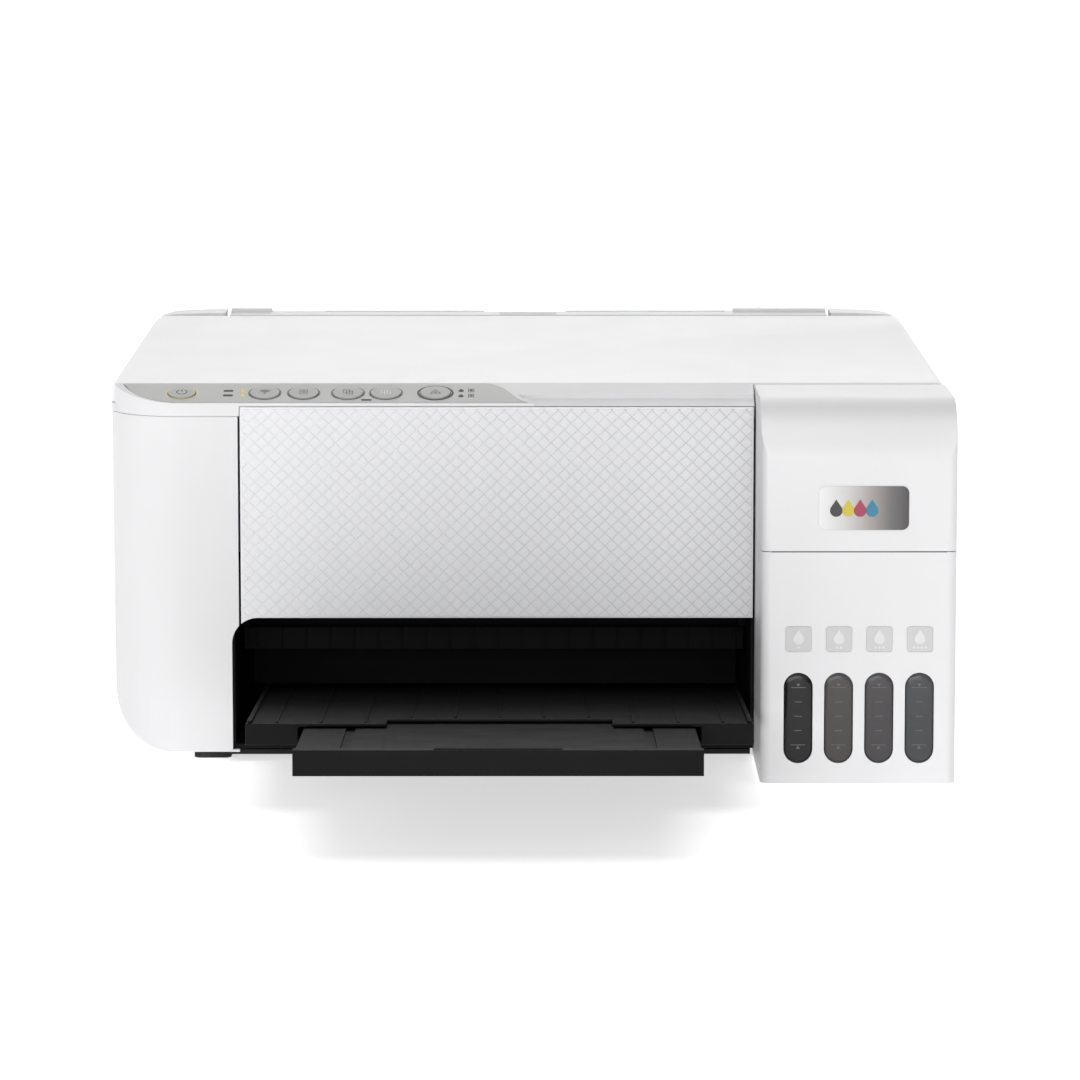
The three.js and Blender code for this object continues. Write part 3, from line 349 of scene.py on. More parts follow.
def piece_from(bm, name, matrix, body, material, bevel=0.0, smooth=False):
    """Make an object of a bmesh drawn in matrix's frame, and let it ride on a body."""
    bmesh.ops.recalc_face_normals(bm, faces=bm.faces)
    bm.transform(matrix)
    if matrix.determinant() < 0:
        bmesh.ops.reverse_faces(bm, faces=bm.faces)
    mesh = bpy.data.meshes.new(name)
    bm.to_mesh(mesh)
    bm.free()
    mesh.materials.append(material)
    for face in mesh.polygons:
        face.use_smooth = smooth or bevel > 0
    piece = bpy.data.objects.new(name, mesh)
    bpy.context.scene.collection.objects.link(piece)
    if bevel:
        soften = piece.modifiers.new("soften", "BEVEL")
        soften.width = bevel * MM
        soften.segments = 2
        soften.limit_method = "ANGLE"
        soften.harden_normals = True
    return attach(piece, body)


def add_prism(bm, outline, low, high):
    """Closed prism over a 2-D outline, from height low to high."""
    bottom = [bm.verts.new((x, y, low)) for x, y in outline]
    top = [bm.verts.new((x, y, high)) for x, y in outline]
    bm.faces.new(reversed(bottom))
    bm.faces.new(top)
    count = len(outline)
    for i in range(count):
        j = (i + 1) % count
        bm.faces.new((bottom[i], bottom[j], top[j], top[i]))


def rounded(x0, y0, x1, y1, radius, steps=6):
    """Outline of a rectangle with round corners."""
    points = []
    for cx, cy, start in ((x1 - radius, y0 + radius, -90), (x1 - radius, y1 - radius, 0),
                          (x0 + radius, y1 - radius, 90), (x0 + radius, y0 + radius, 180)):
        for i in range(steps + 1):
            angle = math.radians(start + 90 * i / steps)
            points.append((cx + radius * math.cos(angle), cy + radius * math.sin(angle)))
    return points


def disc(cx, cy, radius, steps=24):
    angles = [2 * math.pi * i / steps for i in range(steps)]
    return [(cx + radius * math.cos(angle), cy + radius * math.sin(angle)) for angle in angles]


def arc(cx, cy, radius, start, end, steps=16):
    """Points on a circle from start to end degrees."""
    return [(cx + radius * math.cos(math.radians(start + (end - start) * i / steps)),
             cy + radius * math.sin(math.radians(start + (end - start) * i / steps)))
            for i in range(steps + 1)]


def add_stroke(bm, points, width, low, high, closed=False):
    """A flat line of even width along points, as one closed solid."""
    count = len(points)
    left, right = [], []
    for i, point in enumerate(points):
        before = Vector(points[(i - 1) % count] if closed or i else point)
        after = Vector(points[(i + 1) % count] if closed or i < count - 1 else point)
        along = (after - before).normalized()
        side = Vector((-along.y, along.x)) * width / 2
        left.append(Vector(point) + side)
        right.append(Vector(point) - side)
    rows = [[bm.verts.new((p.x, p.y, h)) for p in line]
            for line, h in ((left, high), (right, high), (right, low), (left, low))]
    spans = range(count if closed else count - 1)
    for a, b in ((0, 1), (1, 2), (2, 3), (3, 0)):
        for i in spans:
            j = (i + 1) % count
            bm.faces.new((rows[a][i], rows[b][i], rows[b][j], rows[a][j]))
    if not closed:
        bm.faces.new([row[0] for row in rows])
        bm.faces.new([row[-1] for row in reversed(rows)])


def drop(cx, cy, size):
    """Outline of an ink drop with its point upwards."""
    radius = size * 0.36
    points = arc(cx, cy - size * 0.14, radius, 150, 390, 18)
    return points + [(cx, cy + size * 0.5)]


def cube(bm, x0, x1, y0, y1, z0, z1):
    add_prism(bm, [(x0, y0), (x1, y0), (x1, y1), (x0, y1)], z0, z1)


def group(name, matrix, body, material, outlines, low, high, bevel=0.0):
    """Several closed plates of one thickness, as one piece."""
    bm = bmesh.new()
    for outline in outlines:
        add_prism(bm, outline, low * MM, high * MM)
    return piece_from(bm, name, matrix, body, material, bevel=bevel)


def bar(x0, y0, x1, y1, radius=0.0):
    """Outline of a plain or round-ended bar, in millimetres."""
    corners = [(x0 * MM, y0 * MM), (x1 * MM, y0 * MM), (x1 * MM, y1 * MM), (x0 * MM, y1 * MM)]
    return rounded(x0 * MM, y0 * MM, x1 * MM, y1 * MM, radius * MM, 5) if radius else corners


def cross_bars(x0, x1, first, width, step, count, radius=0.0):
    """Bars that run in x, one after another in y."""
    return [bar(x0, first + k * step, x1, first + k * step + width, radius) for k in range(count)]


def long_bars(y0, y1, first, width, step, count, radius=0.0):
    """Bars that run in y, one after another in x."""
    return [bar(first + k * step, y0, first + k * step + width, y1, radius) for k in range(count)]


# ---- front panel relief ----
def clip(points, axis, limit, keep_above):
    """The part of a convex outline on one side of a line across x (axis 0) or y (axis 1)."""
    kept = []
    for i, point in enumerate(points):
        other = points[(i + 1) % len(points)]
        inside = (point[axis] > limit) == keep_above
        if inside:
            kept.append(point)
        if inside != ((other[axis] > limit) == keep_above):
            share = (limit - point[axis]) / (other[axis] - point[axis])
            kept.append(tuple(a + (b - a) * share for a, b in zip(point, other)))
    return kept


def diamond(cx, cy, half_width, half_height, area):
    """A diamond cut to the panel's area (left, bottom, right, top)."""
    points = [(cx + half_width, cy), (cx, cy + half_height), (cx - half_width, cy), (cx, cy - half_height)]
    for side, limit in enumerate(area):
        points = clip(points, side % 2, limit, side < 2)
    return points


def add_cushion(bm, outline, slope, low, high):
    """Prism whose sides lean in by slope towards its top."""
    count = len(outline)
    centre = sum((Vector(p) for p in outline), Vector((0, 0))) / count
    head = []
    for i in range(count):
        before, here, after = (Vector(outline[(i + k) % count]) for k in (-1, 0, 1))
        a, b = (here - before).normalized(), (after - here).normalized()
        inward = Vector((-a.y - b.y, a.x + b.x))
        square = max(0.3, 1 + a.dot(b))
        head.append(here + inward * slope / square)
    if min((h - centre).length for h in head) < slope:
        return
    lower = [bm.verts.new((p[0], p[1], low)) for p in outline]
    upper = [bm.verts.new((h.x, h.y, high)) for h in head]
    bm.faces.new(upper)
    bm.faces.new(reversed(lower))
    for i in range(count):
        j = (i + 1) % count
        bm.faces.new((lower[i], lower[j], upper[j], upper[i]))


def groove_shade(name, light_x, dark_x):
    """Floor of the grooves in painted shade: a grey that darkens more and more towards the tank unit,
    standing for the shade in the grooves.
    """
    s = Shader(name)
    greys = [(0.0, (0.78, 0.78, 0.79)), (0.45, (0.70, 0.70, 0.71)), (1.0, (0.58, 0.58, 0.59))]
    s.link(s.ramp(s.along("X", light_x, dark_x), greys), s.bsdf.inputs["Base Color"])
    s.link(s.spread(s.noise(400, 2), 0.45, 0.6), s.bsdf.inputs["Roughness"])
    s.link(s.bump(s.noise(1500, 2), 0.01 * MM, 0.5), s.bsdf.inputs["Normal"])
    return s.material


def panel_relief():
    """Flat diamonds in diagonal rows, standing on a thin sheet in painted groove shade that shows as fine
    grooves.
    """
    low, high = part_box("front_panel")
    side, under, over = 0.7 * MM, 0.5 * MM, 0.9 * MM  # plain margins round the pattern
    area = (low.x + side, SLOT_TOP + under, high.x - side, high.z - over)
    bm = bmesh.new()
    cube(bm, area[0], area[2], area[1], area[3], -0.2 * MM, 0.04 * MM)
    sheet = piece_from(bm, "panel_grooves", front_frame(low.y), "scanner_unit",
                       groove_shade("groove_floor_painted_shade", low.x, high.x))
    width, height, groove = 6.0 * MM, 5.8 * MM, 0.2 * MM
    bm = bmesh.new()
    rows = int((area[3] - area[1]) / (height / 2)) + 2
    columns = int((area[2] - area[0]) / width) + 2
    for row in range(rows):
        for column in range(columns):
            cx = area[0] + (column + row % 2 / 2) * width
            cy = area[1] + row * height / 2
            outline = diamond(cx, cy, width / 2 - groove * 0.7, height / 2 - groove * 0.7, area)
            if len(outline) > 2:
                add_cushion(bm, outline, 0.18 * MM, 0.03 * MM, 0.24 * MM)
    piece_from(bm, "panel_relief", front_frame(low.y), "scanner_unit", PANEL_WHITE_PAINTED_LIGHT)


panel_relief()


# ---- control strip ----
PRESS = Vector(JOINTS["power_press"]["axis"]).normalized()
STRIP_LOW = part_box("control_strip")[0]


def slope_frame():
    """x to the right, y up the slope, z out of it, from the lower edge of the grey strip."""
    out = -PRESS
    up = out.cross(Vector((1, 0, 0)))
    rotation = Matrix((Vector((1, 0, 0)), up, out)).transposed().to_4x4()
    return Matrix.Translation((0, STRIP_LOW.y, STRIP_LOW.z)) @ rotation


SLOPE = slope_frame()
TO_SLOPE = SLOPE.inverted()


def on_slope(name):
    """Centre, height and half width of a CAD node, in the slope's frame."""
    points = [TO_SLOPE @ vertex.co for vertex in NODES[name].data.vertices]
    xs, ys, zs = zip(*points)
    return (min(xs) + max(xs)) / 2, (min(ys) + max(ys)) / 2, max(zs), (max(xs) - min(xs)) / 2


STRIP_FACE = on_slope("control_strip")[2]


def symbol_power(bm, x, y, r, low, high):
    add_stroke(bm, arc(x, y, r, 120, 420), 0.42 * MM, low, high)
    add_stroke(bm, [(x, y + r * 0.15), (x, y + r * 1.15)], 0.42 * MM, low, high)


def symbol_network(bm, x, y, r, low, high):
    add_prism(bm, disc(x, y - r * 0.6, r * 0.16, 12), low, high)
    for k in (0.55, 1.0, 1.45):
        add_stroke(bm, arc(x, y - r * 0.6, r * k, 45, 135, 10), 0.4 * MM, low, high)


def symbol_page(bm, x, y, r, low, high):
    outline = [(x - r * 0.7, y - r), (x + r * 0.7, y - r), (x + r * 0.7, y + r), (x - r * 0.7, y + r)]
    add_stroke(bm, outline, 0.36 * MM, low, high, closed=True)
    for k in (-0.4, 0.05, 0.5):
        add_stroke(bm, [(x - r * 0.4, y + r * k), (x + r * 0.4, y + r * k)], 0.3 * MM, low, high)


def symbol_copy(bm, x, y, r, low, high):
    for shift in (-0.3, 0.3):
        cx, cy = x + r * shift, y - r * shift
        add_stroke(bm, [(cx - r * 0.6, cy - r * 0.75), (cx + r * 0.6, cy - r * 0.75),
                        (cx + r * 0.6, cy + r * 0.75), (cx - r * 0.6, cy + r * 0.75)],
                   0.36 * MM, low, high, closed=True)


def symbol_stop(bm, x, y, r, low, high):
    corners = [(x - r, y - r * 0.7), (x + r, y - r * 0.7), (x, y + r)]
    add_stroke(bm, corners, 0.45 * MM, low, high, closed=True)
    add_prism(bm, disc(x, y - r * 0.15, r * 0.22, 12), low, high)


SYMBOLS = {"power": (symbol_power, PRINT_DARK), "network": (symbol_network, PRINT_DARK),
           "info": (symbol_page, PRINT_DARK), "copy_mono": (symbol_copy, PRINT_DARK),
           "copy_colour": (symbol_copy, PRINT_PALE), "stop": (symbol_stop, PRINT_DARK)}


def button_details():
    """A printed symbol on each button, and a dark ring printed around it on the strip."""
    for button in BUTTONS:
        x, y, top, radius = on_slope(f"button_{button}")
        draw, ink = SYMBOLS[button]
        bm = bmesh.new()
        draw(bm, x, y, 2.3 * MM, top - 0.05 * MM, top + 0.05 * MM)
        piece_from(bm, f"symbol_{button}", SLOPE, f"button_{button}", ink)
        bm = bmesh.new()
        width = 0.9 * MM if button == "stop" else 0.35 * MM
        ring = disc(x, y, radius + 0.5 * MM + width / 2, 40)
        add_stroke(bm, ring, width, STRIP_FACE - 0.2 * MM, STRIP_FACE + 0.06 * MM, closed=True)
        look = AMBER if button == "power" else PRINT_DARK
        piece_from(bm, f"ring_{button}", SLOPE, "scanner_unit", look)


def strip_lights():
    """Status lights and their symbols, between and beside the buttons."""
    y = on_slope("button_power")[1]
    low, high = STRIP_FACE - 0.2 * MM, STRIP_FACE + 0.07 * MM
    bm = bmesh.new()

    def plate(x, middle, half_width, half_height, radius, steps=4):
        add_prism(bm, rounded(x - half_width * MM, middle - half_height * MM, x + half_width * MM,
                              middle + half_height * MM, radius * MM, steps), low, high)

    left = on_slope("button_power")[0] + 20.7 * MM
    for dy in (-2.6, 2.6):
        plate(left, y + dy * MM, 2.2, 1.0, 0.6)
    between = (on_slope("button_copy_mono")[0] + on_slope("button_copy_colour")[0]) / 2
    plate(between, y - 7.7 * MM, 2.4, 0.9, 0.85, 5)
    right = on_slope("button_stop")[0]
    for dy in (-3.0, 3.0):
        add_prism(bm, drop(right + 11.5 * MM, y + dy * MM, 3.4 * MM), low, high)
        symbol_page(bm, right + 16.0 * MM, y + dy * MM, 1.7 * MM, low, high)
    piece_from(bm, "strip_symbols", SLOPE, "scanner_unit", PRINT_DARK)
    bm = bmesh.new()
    for dy in (-2.6, 2.6):
        plate(left + 6.6 * MM, y + dy * MM, 0.7, 1.6, 0.6)
    piece_from(bm, "strip_lights", SLOPE, "scanner_unit", AMBER)


button_details()
strip_lights()


# ---- ink tank unit ----
TANK_FACE_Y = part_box("tank_housing")[0].y
TANK_FACE = front_frame(TANK_FACE_Y)
TANK_X = {ink: sum(corner.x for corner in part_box(f"ink_tank_{ink}")) / 2 for ink in INKS}
TANK_SEAM_Z = 104  # millimetres
WINDOW_WIDTH, WINDOW_LOW, WINDOW_HIGH = 12.3 * MM, 10.8 * MM, 50.5 * MM
LABEL_LOW, LABEL_HIGH = 60.0 * MM, 71.1 * MM
LENS_TINT = 0.7  # how far the smoked lens darkens the ink behind it


def tank_window(ink):
    """Domed smoked lens in the housing's window."""
    x = TANK_X[ink]
    empty = (0.08, 0.078, 0.082) if ink != "black" else (0.03, 0.03, 0.03)
    look = ink_lens(f"lens_{ink}", shade(INK_COLOURS[ink], LENS_TINT), empty, WINDOW_LOW, WINDOW_HIGH)
    bm = bmesh.new()
    half = WINDOW_WIDTH / 2
    layers = ((0.0, -2.4), (0.0, -0.9), (0.5, -0.45), (1.4, -0.2), (2.8, -0.1))
    rings = []
    for inset, z in layers:
        inset *= MM
        ring = rounded(x - half + inset, WINDOW_LOW + inset, x + half - inset, WINDOW_HIGH - inset,
                       half - inset - 0.01 * MM, 10)  # a hair under a full half circle
        rings.append([bm.verts.new((px, pz, z * MM)) for px, pz in ring])
    bm.faces.new(reversed(rings[0]))
    bm.faces.new(rings[-1])
    for lower, upper in zip(rings, rings[1:]):
        for i in range(len(lower)):
            j = (i + 1) % len(lower)
            bm.faces.new((lower[i], lower[j], upper[j], upper[i]))
    lens = piece_from(bm, f"window_lens_{ink}", TANK_FACE, "chassis", look, smooth=True)


def level_marks(ink):
    """Scale lines in a window, and a pointer at its full and low levels."""
    x = TANK_X[ink]
    sunk = (-0.3 * MM, -0.02 * MM)
    bm = bmesh.new()
    for share, reach in ((0.84, 3.2), (0.2, 3.2), (0.68, 1.6), (0.52, 1.6), (0.36, 1.6)):
        height = WINDOW_LOW + (WINDOW_HIGH - WINDOW_LOW) * share
        cube(bm, x - reach * MM, x + reach * MM, height - 0.15 * MM, height + 0.15 * MM, *sunk)
    for share, flip in ((0.84, 1), (0.2, -1)):
        height = WINDOW_LOW + (WINDOW_HIGH - WINDOW_LOW) * share + flip * 0.4 * MM
        base = height + flip * 1.3 * MM
        add_prism(bm, [(x - 0.9 * MM, base), (x + 0.9 * MM, base), (x, height)], *sunk)
    piece_from(bm, f"level_marks_{ink}", TANK_FACE, "chassis", MARK)


def tank_label(ink):
    """Small plate in its recess above a window, with an ink drop and counting dots on it."""
    x = TANK_X[ink]
    half = 5.6 * MM
    bm = bmesh.new()
    add_prism(bm, rounded(x - half, LABEL_LOW, x + half, LABEL_HIGH, 1.3 * MM, 4), -0.38 * MM, -0.08 * MM)
    piece_from(bm, f"label_{ink}", TANK_FACE, "chassis", LABEL, bevel=0.08)
    bm = bmesh.new()
    middle = (LABEL_LOW + LABEL_HIGH) / 2
    add_prism(bm, drop(x, middle + 0.9 * MM, 6.4 * MM), -0.2 * MM, 0.02 * MM)
    count = INKS.index(ink) + 1
    for i in range(count):
        dot = x + (i - (count - 1) / 2) * 1.7 * MM
        add_prism(bm, disc(dot, middle - 3.7 * MM, 0.55 * MM, 12), -0.2 * MM, 0.02 * MM)
    piece_from(bm, f"label_drop_{ink}", TANK_FACE, "chassis", LABEL_MARK)


def badge():
    """Plate on the tank cover with four generic ink drops."""
    left, right, bottom, top = 126.5 * MM, 165.7 * MM, 113.6 * MM, 132.8 * MM
    look = badge_finish("badge_gradient", left, right)
    bm = bmesh.new()
    add_prism(bm, rounded(left, bottom, right, top, 3 * MM, 8), -0.2 * MM, 0.35 * MM)
    face = front_frame(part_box("tank_cover")[0].y)
    piece_from(bm, "tank_badge", face, "tank_cover", look, bevel=0.15)
    for i, ink in enumerate(INKS):
        bm = bmesh.new()
        x = left + (7.5 + i * 5.2) * MM
        add_prism(bm, drop(x, (bottom + top) / 2, 7.6 * MM), 0.2 * MM, 0.45 * MM)
        piece_from(bm, f"badge_drop_{ink}", face, "tank_cover", DROPS[ink])


DROPS = {
    "black": plastic("drop_black", (0.05, 0.05, 0.052), 0.4),
    "yellow": plastic("drop_yellow", (0.6, 0.5, 0.06), 0.4),
    "magenta": plastic("drop_magenta", (0.38, 0.05, 0.10), 0.4),
    "cyan": plastic("drop_cyan", (0.04, 0.22, 0.34), 0.4),
}
for ink in INKS:
    tank_window(ink)
    level_marks(ink)
    tank_label(ink)
badge()


def tank_seam_shade():
    """Dark strip in the seam under the tank cover: painted shade standing for the shadow in the seam's gap.
    """
    low, high = box_mm("tank_cover")
    line = [bar(low.x + 4.5, TANK_SEAM_Z - 0.25, high.x - 4.5, TANK_SEAM_Z + 0.2)]
    group("tank_seam_shade", TANK_FACE, "chassis", PAINTED_GAP_SHADE, line, -0.6, 0.02)


def tank_shield():
    """Plate behind the gap at the cover's hinge, on the outer side."""
    plate = [bar(-20, TANK_SEAM_Z - 1, -8, 147)]
    group("tank_shield", side_frame(), "chassis", WHITE, plate, 181.6, 183.4, bevel=0.2)


# ---- finer pieces ----
def screws(name, matrix, body, places):
    """Pan-head screws; each cross recess is a flat dark cross in painted shade."""
    profile = ((2.9, -0.1), (2.9, 0.5), (2.5, 0.95), (1.6, 1.2))  # radius and height of each ring
    steps = 20
    bm = bmesh.new()
    for x, y in places:
        rings = []
        for radius, z in profile:
            circle = disc(x * MM, y * MM, radius * MM, steps)
            rings.append([bm.verts.new((px, py, z * MM)) for px, py in circle])
        for lower, upper in zip(rings, rings[1:]):
            for i in range(steps):
                after = (i + 1) % steps
                bm.faces.new((lower[i], lower[after], upper[after], upper[i]))
        bm.faces.new(rings[-1])
        bm.faces.new(reversed(rings[0]))
    piece_from(bm, f"{name}_heads", matrix, body, STEEL)
    # Cross recesses: dark crosses laid on the heads as painted shade, not cut in.
    bm = bmesh.new()
    for x, y in places:
        arms = [(-1.5, -0.25, 1.5, 0.25), (-0.25, -1.5, 0.25, 1.5)]
        for k, (x0, y0, x1, y1) in enumerate(arms):
            add_prism(bm, bar(x + x0, y + y0, x + x1, y + y1), 1.0 * MM, (1.24 + 0.01 * k) * MM)
    piece_from(bm, f"{name}_recess_shade", matrix, body, PAINTED_GAP_SHADE)


def seam_lip():
    """Raised lip round the left housing that closes the seam under the scanner unit."""
    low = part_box("left_housing")[0]
    left, front, corner = low.x + 1.2 * MM, low.y + 1.2 * MM, 31.8 * MM
    line = [(left, 60 * MM)] + arc(left + corner, front + corner, corner, 180, 270) + [(-129.5 * MM, front)]
    bm = bmesh.new()
    add_stroke(bm, line, 1.0 * MM, 155.8 * MM, 156.56 * MM)
    piece_from(bm, "seam_lip", top_frame(0), "chassis", WHITE)


def scanner_bed():
    """Frame line, rule marks and corner arrow around the glass, and the scan bar's window."""
    rim = top_frame(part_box("scanner_glass")[1].z)
    low, high = box_mm("scanner_glass")
    half = 0.15
    marks = []
    for i in range(31):
        reach = 4.0 if i % 5 == 0 else 2.2
        x = low.x + 10 + i * 10
        if x < high.x - 4:
            marks.append(bar(x - half, low.y - 1.2 - reach * 0.7, x + half, low.y - 1.2))
        y = low.y + 8 + i * 10
        if y < high.y - 4:
            marks.append(bar(low.x - 2 - reach, y - half, low.x - 2, y + half))
    arrow = [((low.x - 12 + dx) * MM, (low.y + 2 + dy) * MM) for dx, dy in ((0, 0), (7, 2), (2, 7))]
    group("bed_rule", rim, "scanner_unit", PRINT_DARK, marks + [arrow], -0.1, 0.06)
    bm = bmesh.new()
    edge = [(low.x - 0.9, low.y - 0.6), (high.x + 0.9, low.y - 0.6), (high.x + 0.9, high.y + 0.6),
            (low.x - 0.9, high.y + 0.6)]
    add_stroke(bm, [(x * MM, y * MM) for x, y in edge], 0.8 * MM, -0.2 * MM, 0.12 * MM, closed=True)
    piece_from(bm, "bed_frame", rim, "scanner_unit", KEY)
    low, high = box_mm("scan_bar")
    face = top_frame(high.z * MM)
    lens = [bar(low.x + 4, low.y + 6, low.x + 7.5, high.y - 6, 1.6)]
    group("scan_lens", face, "scan_bar", GLOSS_BLACK, lens, -0.2, 0.5, bevel=0.15)
    guide = [bar(low.x + 8.6, low.y + 6, low.x + 11, high.y - 6, 1.1)]
    group("scan_light", face, "scan_bar", PRINT_PALE, guide, -0.2, 0.8, bevel=0.3)
    pads = [bar(low.x + 3, y, low.x + 11, y + 3.6, 1.2) for y in (low.y + 1, high.y - 4.6)]
    group("scan_sliders", face, "scan_bar", NATURAL, pads, -0.3, 2.4, bevel=0.3)


def scanner_well():
    """Rail and toothed belt that carry the scan bar, on the floor of the scanner."""
    floor_thickness = 2.5 * MM
    face = top_frame(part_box("scanner_housing")[0].z + floor_thickness)
    rail = [bar(-172, 114, 172, 117, 1.4)]
    group("scan_rail", face, "scanner_unit", STEEL, rail, -0.2, 2.4, bevel=0.8)
    belt_front, belt_back = 121, 125
    teeth = long_bars(belt_front, belt_back, -166, 1.5, 3, 110)
    group("scan_belt_teeth", face, "scanner_unit", RUBBER, teeth, 0.9, 1.7)
    belt = [bar(-168, belt_front, 166, belt_back)]
    group("scan_belt", face, "scanner_unit", RUBBER, belt, 0.2, 1.0)


def tank_caps():
    """Grip ridges and an ink drop on each cap, and a coloured collar round each filler neck."""
    neck_y, collar_low, collar_high = -67, 112.0, 115.5
    for ink in INKS:
        low, high = box_mm(f"tank_cap_{ink}")
        face = top_frame(high.z * MM)
        middle = (low.x + high.x) / 2
        ridges = cross_bars(middle - 5, middle + 5, low.y + 1.6, 0.7, 1.5, 4, 0.3)
        group(f"cap_ridges_{ink}", face, f"tank_cap_{ink}", CAPS[ink], ridges, -0.2, 0.6)
        mark = [drop(middle * MM, (low.y + 13.6) * MM, 7 * MM)]
        group(f"cap_drop_{ink}", face, f"tank_cap_{ink}", LABEL_MARK, mark, -0.1, 0.15)
        bm = bmesh.new()
        ring = disc(middle * MM, neck_y * MM, 6.3 * MM, 32)
        add_stroke(bm, ring, 1.4 * MM, collar_low * MM, collar_high * MM, closed=True)
        piece_from(bm, f"neck_collar_{ink}", top_frame(0), "chassis", CAPS[ink])


def tray_frame(node, joint):
    """Frame along a tray piece and the piece's corners in it: x right, y as it slides, z out of its face."""
    along = Vector(JOINTS[joint]["axis"]).normalized()
    out = Vector((1, 0, 0)).cross(along)
    turn = Matrix((Vector((1, 0, 0)), along, out)).transposed().to_4x4()
    back = turn.inverted()
    points = [back @ vertex.co for vertex in NODES[node].data.vertices]
    low = Vector([min(p[i] for p in points) for i in range(3)]) / MM
    high = Vector([max(p[i] for p in points) for i in range(3)]) / MM
    return turn, low, high


def tray_details():
    """Paper ribs and side edges on the tray, ribs on its extension, and grip ridges."""
    turn, low, high = tray_frame("output_tray", "output_tray_slide")
    face = turn @ Matrix.Translation((0, 0, high.z * MM))
    ribs = []
    for k in range(11):
        x = low.x + 13 + k * (high.x - low.x - 26) / 10
        front = low.y + (26 if -62 < x < 38 else 5)
        ribs.append(bar(x - 0.5, front, x + 0.5, high.y - 3, 0.45))
    group("tray_ribs", face, "output_tray", BLACK, ribs, -0.2, 0.45, bevel=0.15)
    sides = [bar(x, low.y + 1.5, x + 2, high.y - 2, 0.9) for x in (low.x + 0.6, high.x - 2.6)]
    group("tray_sides", face, "output_tray", BLACK, sides, -0.2, 1.2, bevel=0.3)
    turn, low, high = tray_frame("tray_extension", "tray_extension_slide")
    middle = (low.x + high.x) / 2
    top = turn @ Matrix.Translation((0, 0, high.z * MM))
    ridges = cross_bars(middle - 26, middle + 26, low.y + 1.6, 0.5, 1.3, 4, 0.2)
    group("extension_grip", top, "tray_extension", BLACK, ridges, -0.2, 0.3)
    step_down = 2.55  # the extension's plate lies this far below its front lip
    plate = turn @ Matrix.Translation((0, 0, (high.z - step_down) * MM))
    ribs = [bar(x - 0.4, low.y + 26, x + 0.4, low.y + 62, 0.35) for x in (-60, -45, -30, -12, 6, 21, 36)]
    group("extension_ribs", plate, "tray_extension", BLACK, ribs, -0.2, 0.25)
    turn, low, high = tray_frame("paper_stopper", "output_tray_slide")
    top = turn @ Matrix.Translation((0, 0, high.z * MM))
    ridges = cross_bars(low.x + 8, high.x - 8, high.y - 2.4, 0.5, -1.4, 3, 0.2)
    group("stopper_grip", top, "paper_stopper", BLACK, ridges, -0.15, 0.12)


def output_mouth():
    """Walls that close the mouth round the eject roller, guide ribs, and star wheels above them."""
    front_y, rear_y, chute_end_y, star_bar_y = 43, 64.2, 136.6, 52
    face = front_frame(front_y * MM)
    walls = [bar(-130.8, 40.6, 99.4, 51), bar(-136, 51.2, -128.5, 86), bar(97, 51.2, 103, 86)]
    group("mouth_baffle", face, "chassis", BLACK, walls, -1.5, 0, bevel=0.3)
    face_behind = front_frame(rear_y * MM)
    wall = [bar(-140, 40.3, 106, 52.3)]
    group("mouth_rear_wall", face_behind, "chassis", BLACK, wall, -1.5, 0, bevel=0.3)
    chute_face = front_frame(chute_end_y * MM)
    end = [bar(-131.5, 9, 100, 39.8)]
    group("chute_end_wall", chute_face, "chassis", BLACK, end, -1.3, 0, bevel=0.3)
    ribs = long_bars(41, 50.6, -125, 0.8, 11, 21)
    group("mouth_ribs", face, "chassis", BLACK, ribs, -0.2, 1.6)
    star_bar = [bar(-128, 74.5, 98, 82)]
    group("star_wheel_bar", front_frame(star_bar_y * MM), "chassis", ENGINE_BLACK, star_bar, -10, 0,
          bevel=0.5)
    star_wheels()


def star_wheels():
    """Thin toothed wheels that press the sheet on the eject roller."""
    wheel_y, wheel_z, points = 56 * MM, 71.5 * MM, 24
    bm = bmesh.new()
    for k in range(12):
        x = (-118 + k * 18.6) * MM
        star = []
        for i in range(points):
            radius = (4.2 if i % 2 else 3.4) * MM
            angle = 2 * math.pi * i / points
            star.append((wheel_y + radius * math.cos(angle), wheel_z + radius * math.sin(angle)))
        add_prism(bm, star, x - 0.15 * MM, x + 0.15 * MM)
    piece_from(bm, "star_wheels", side_frame(), "chassis", STEEL)


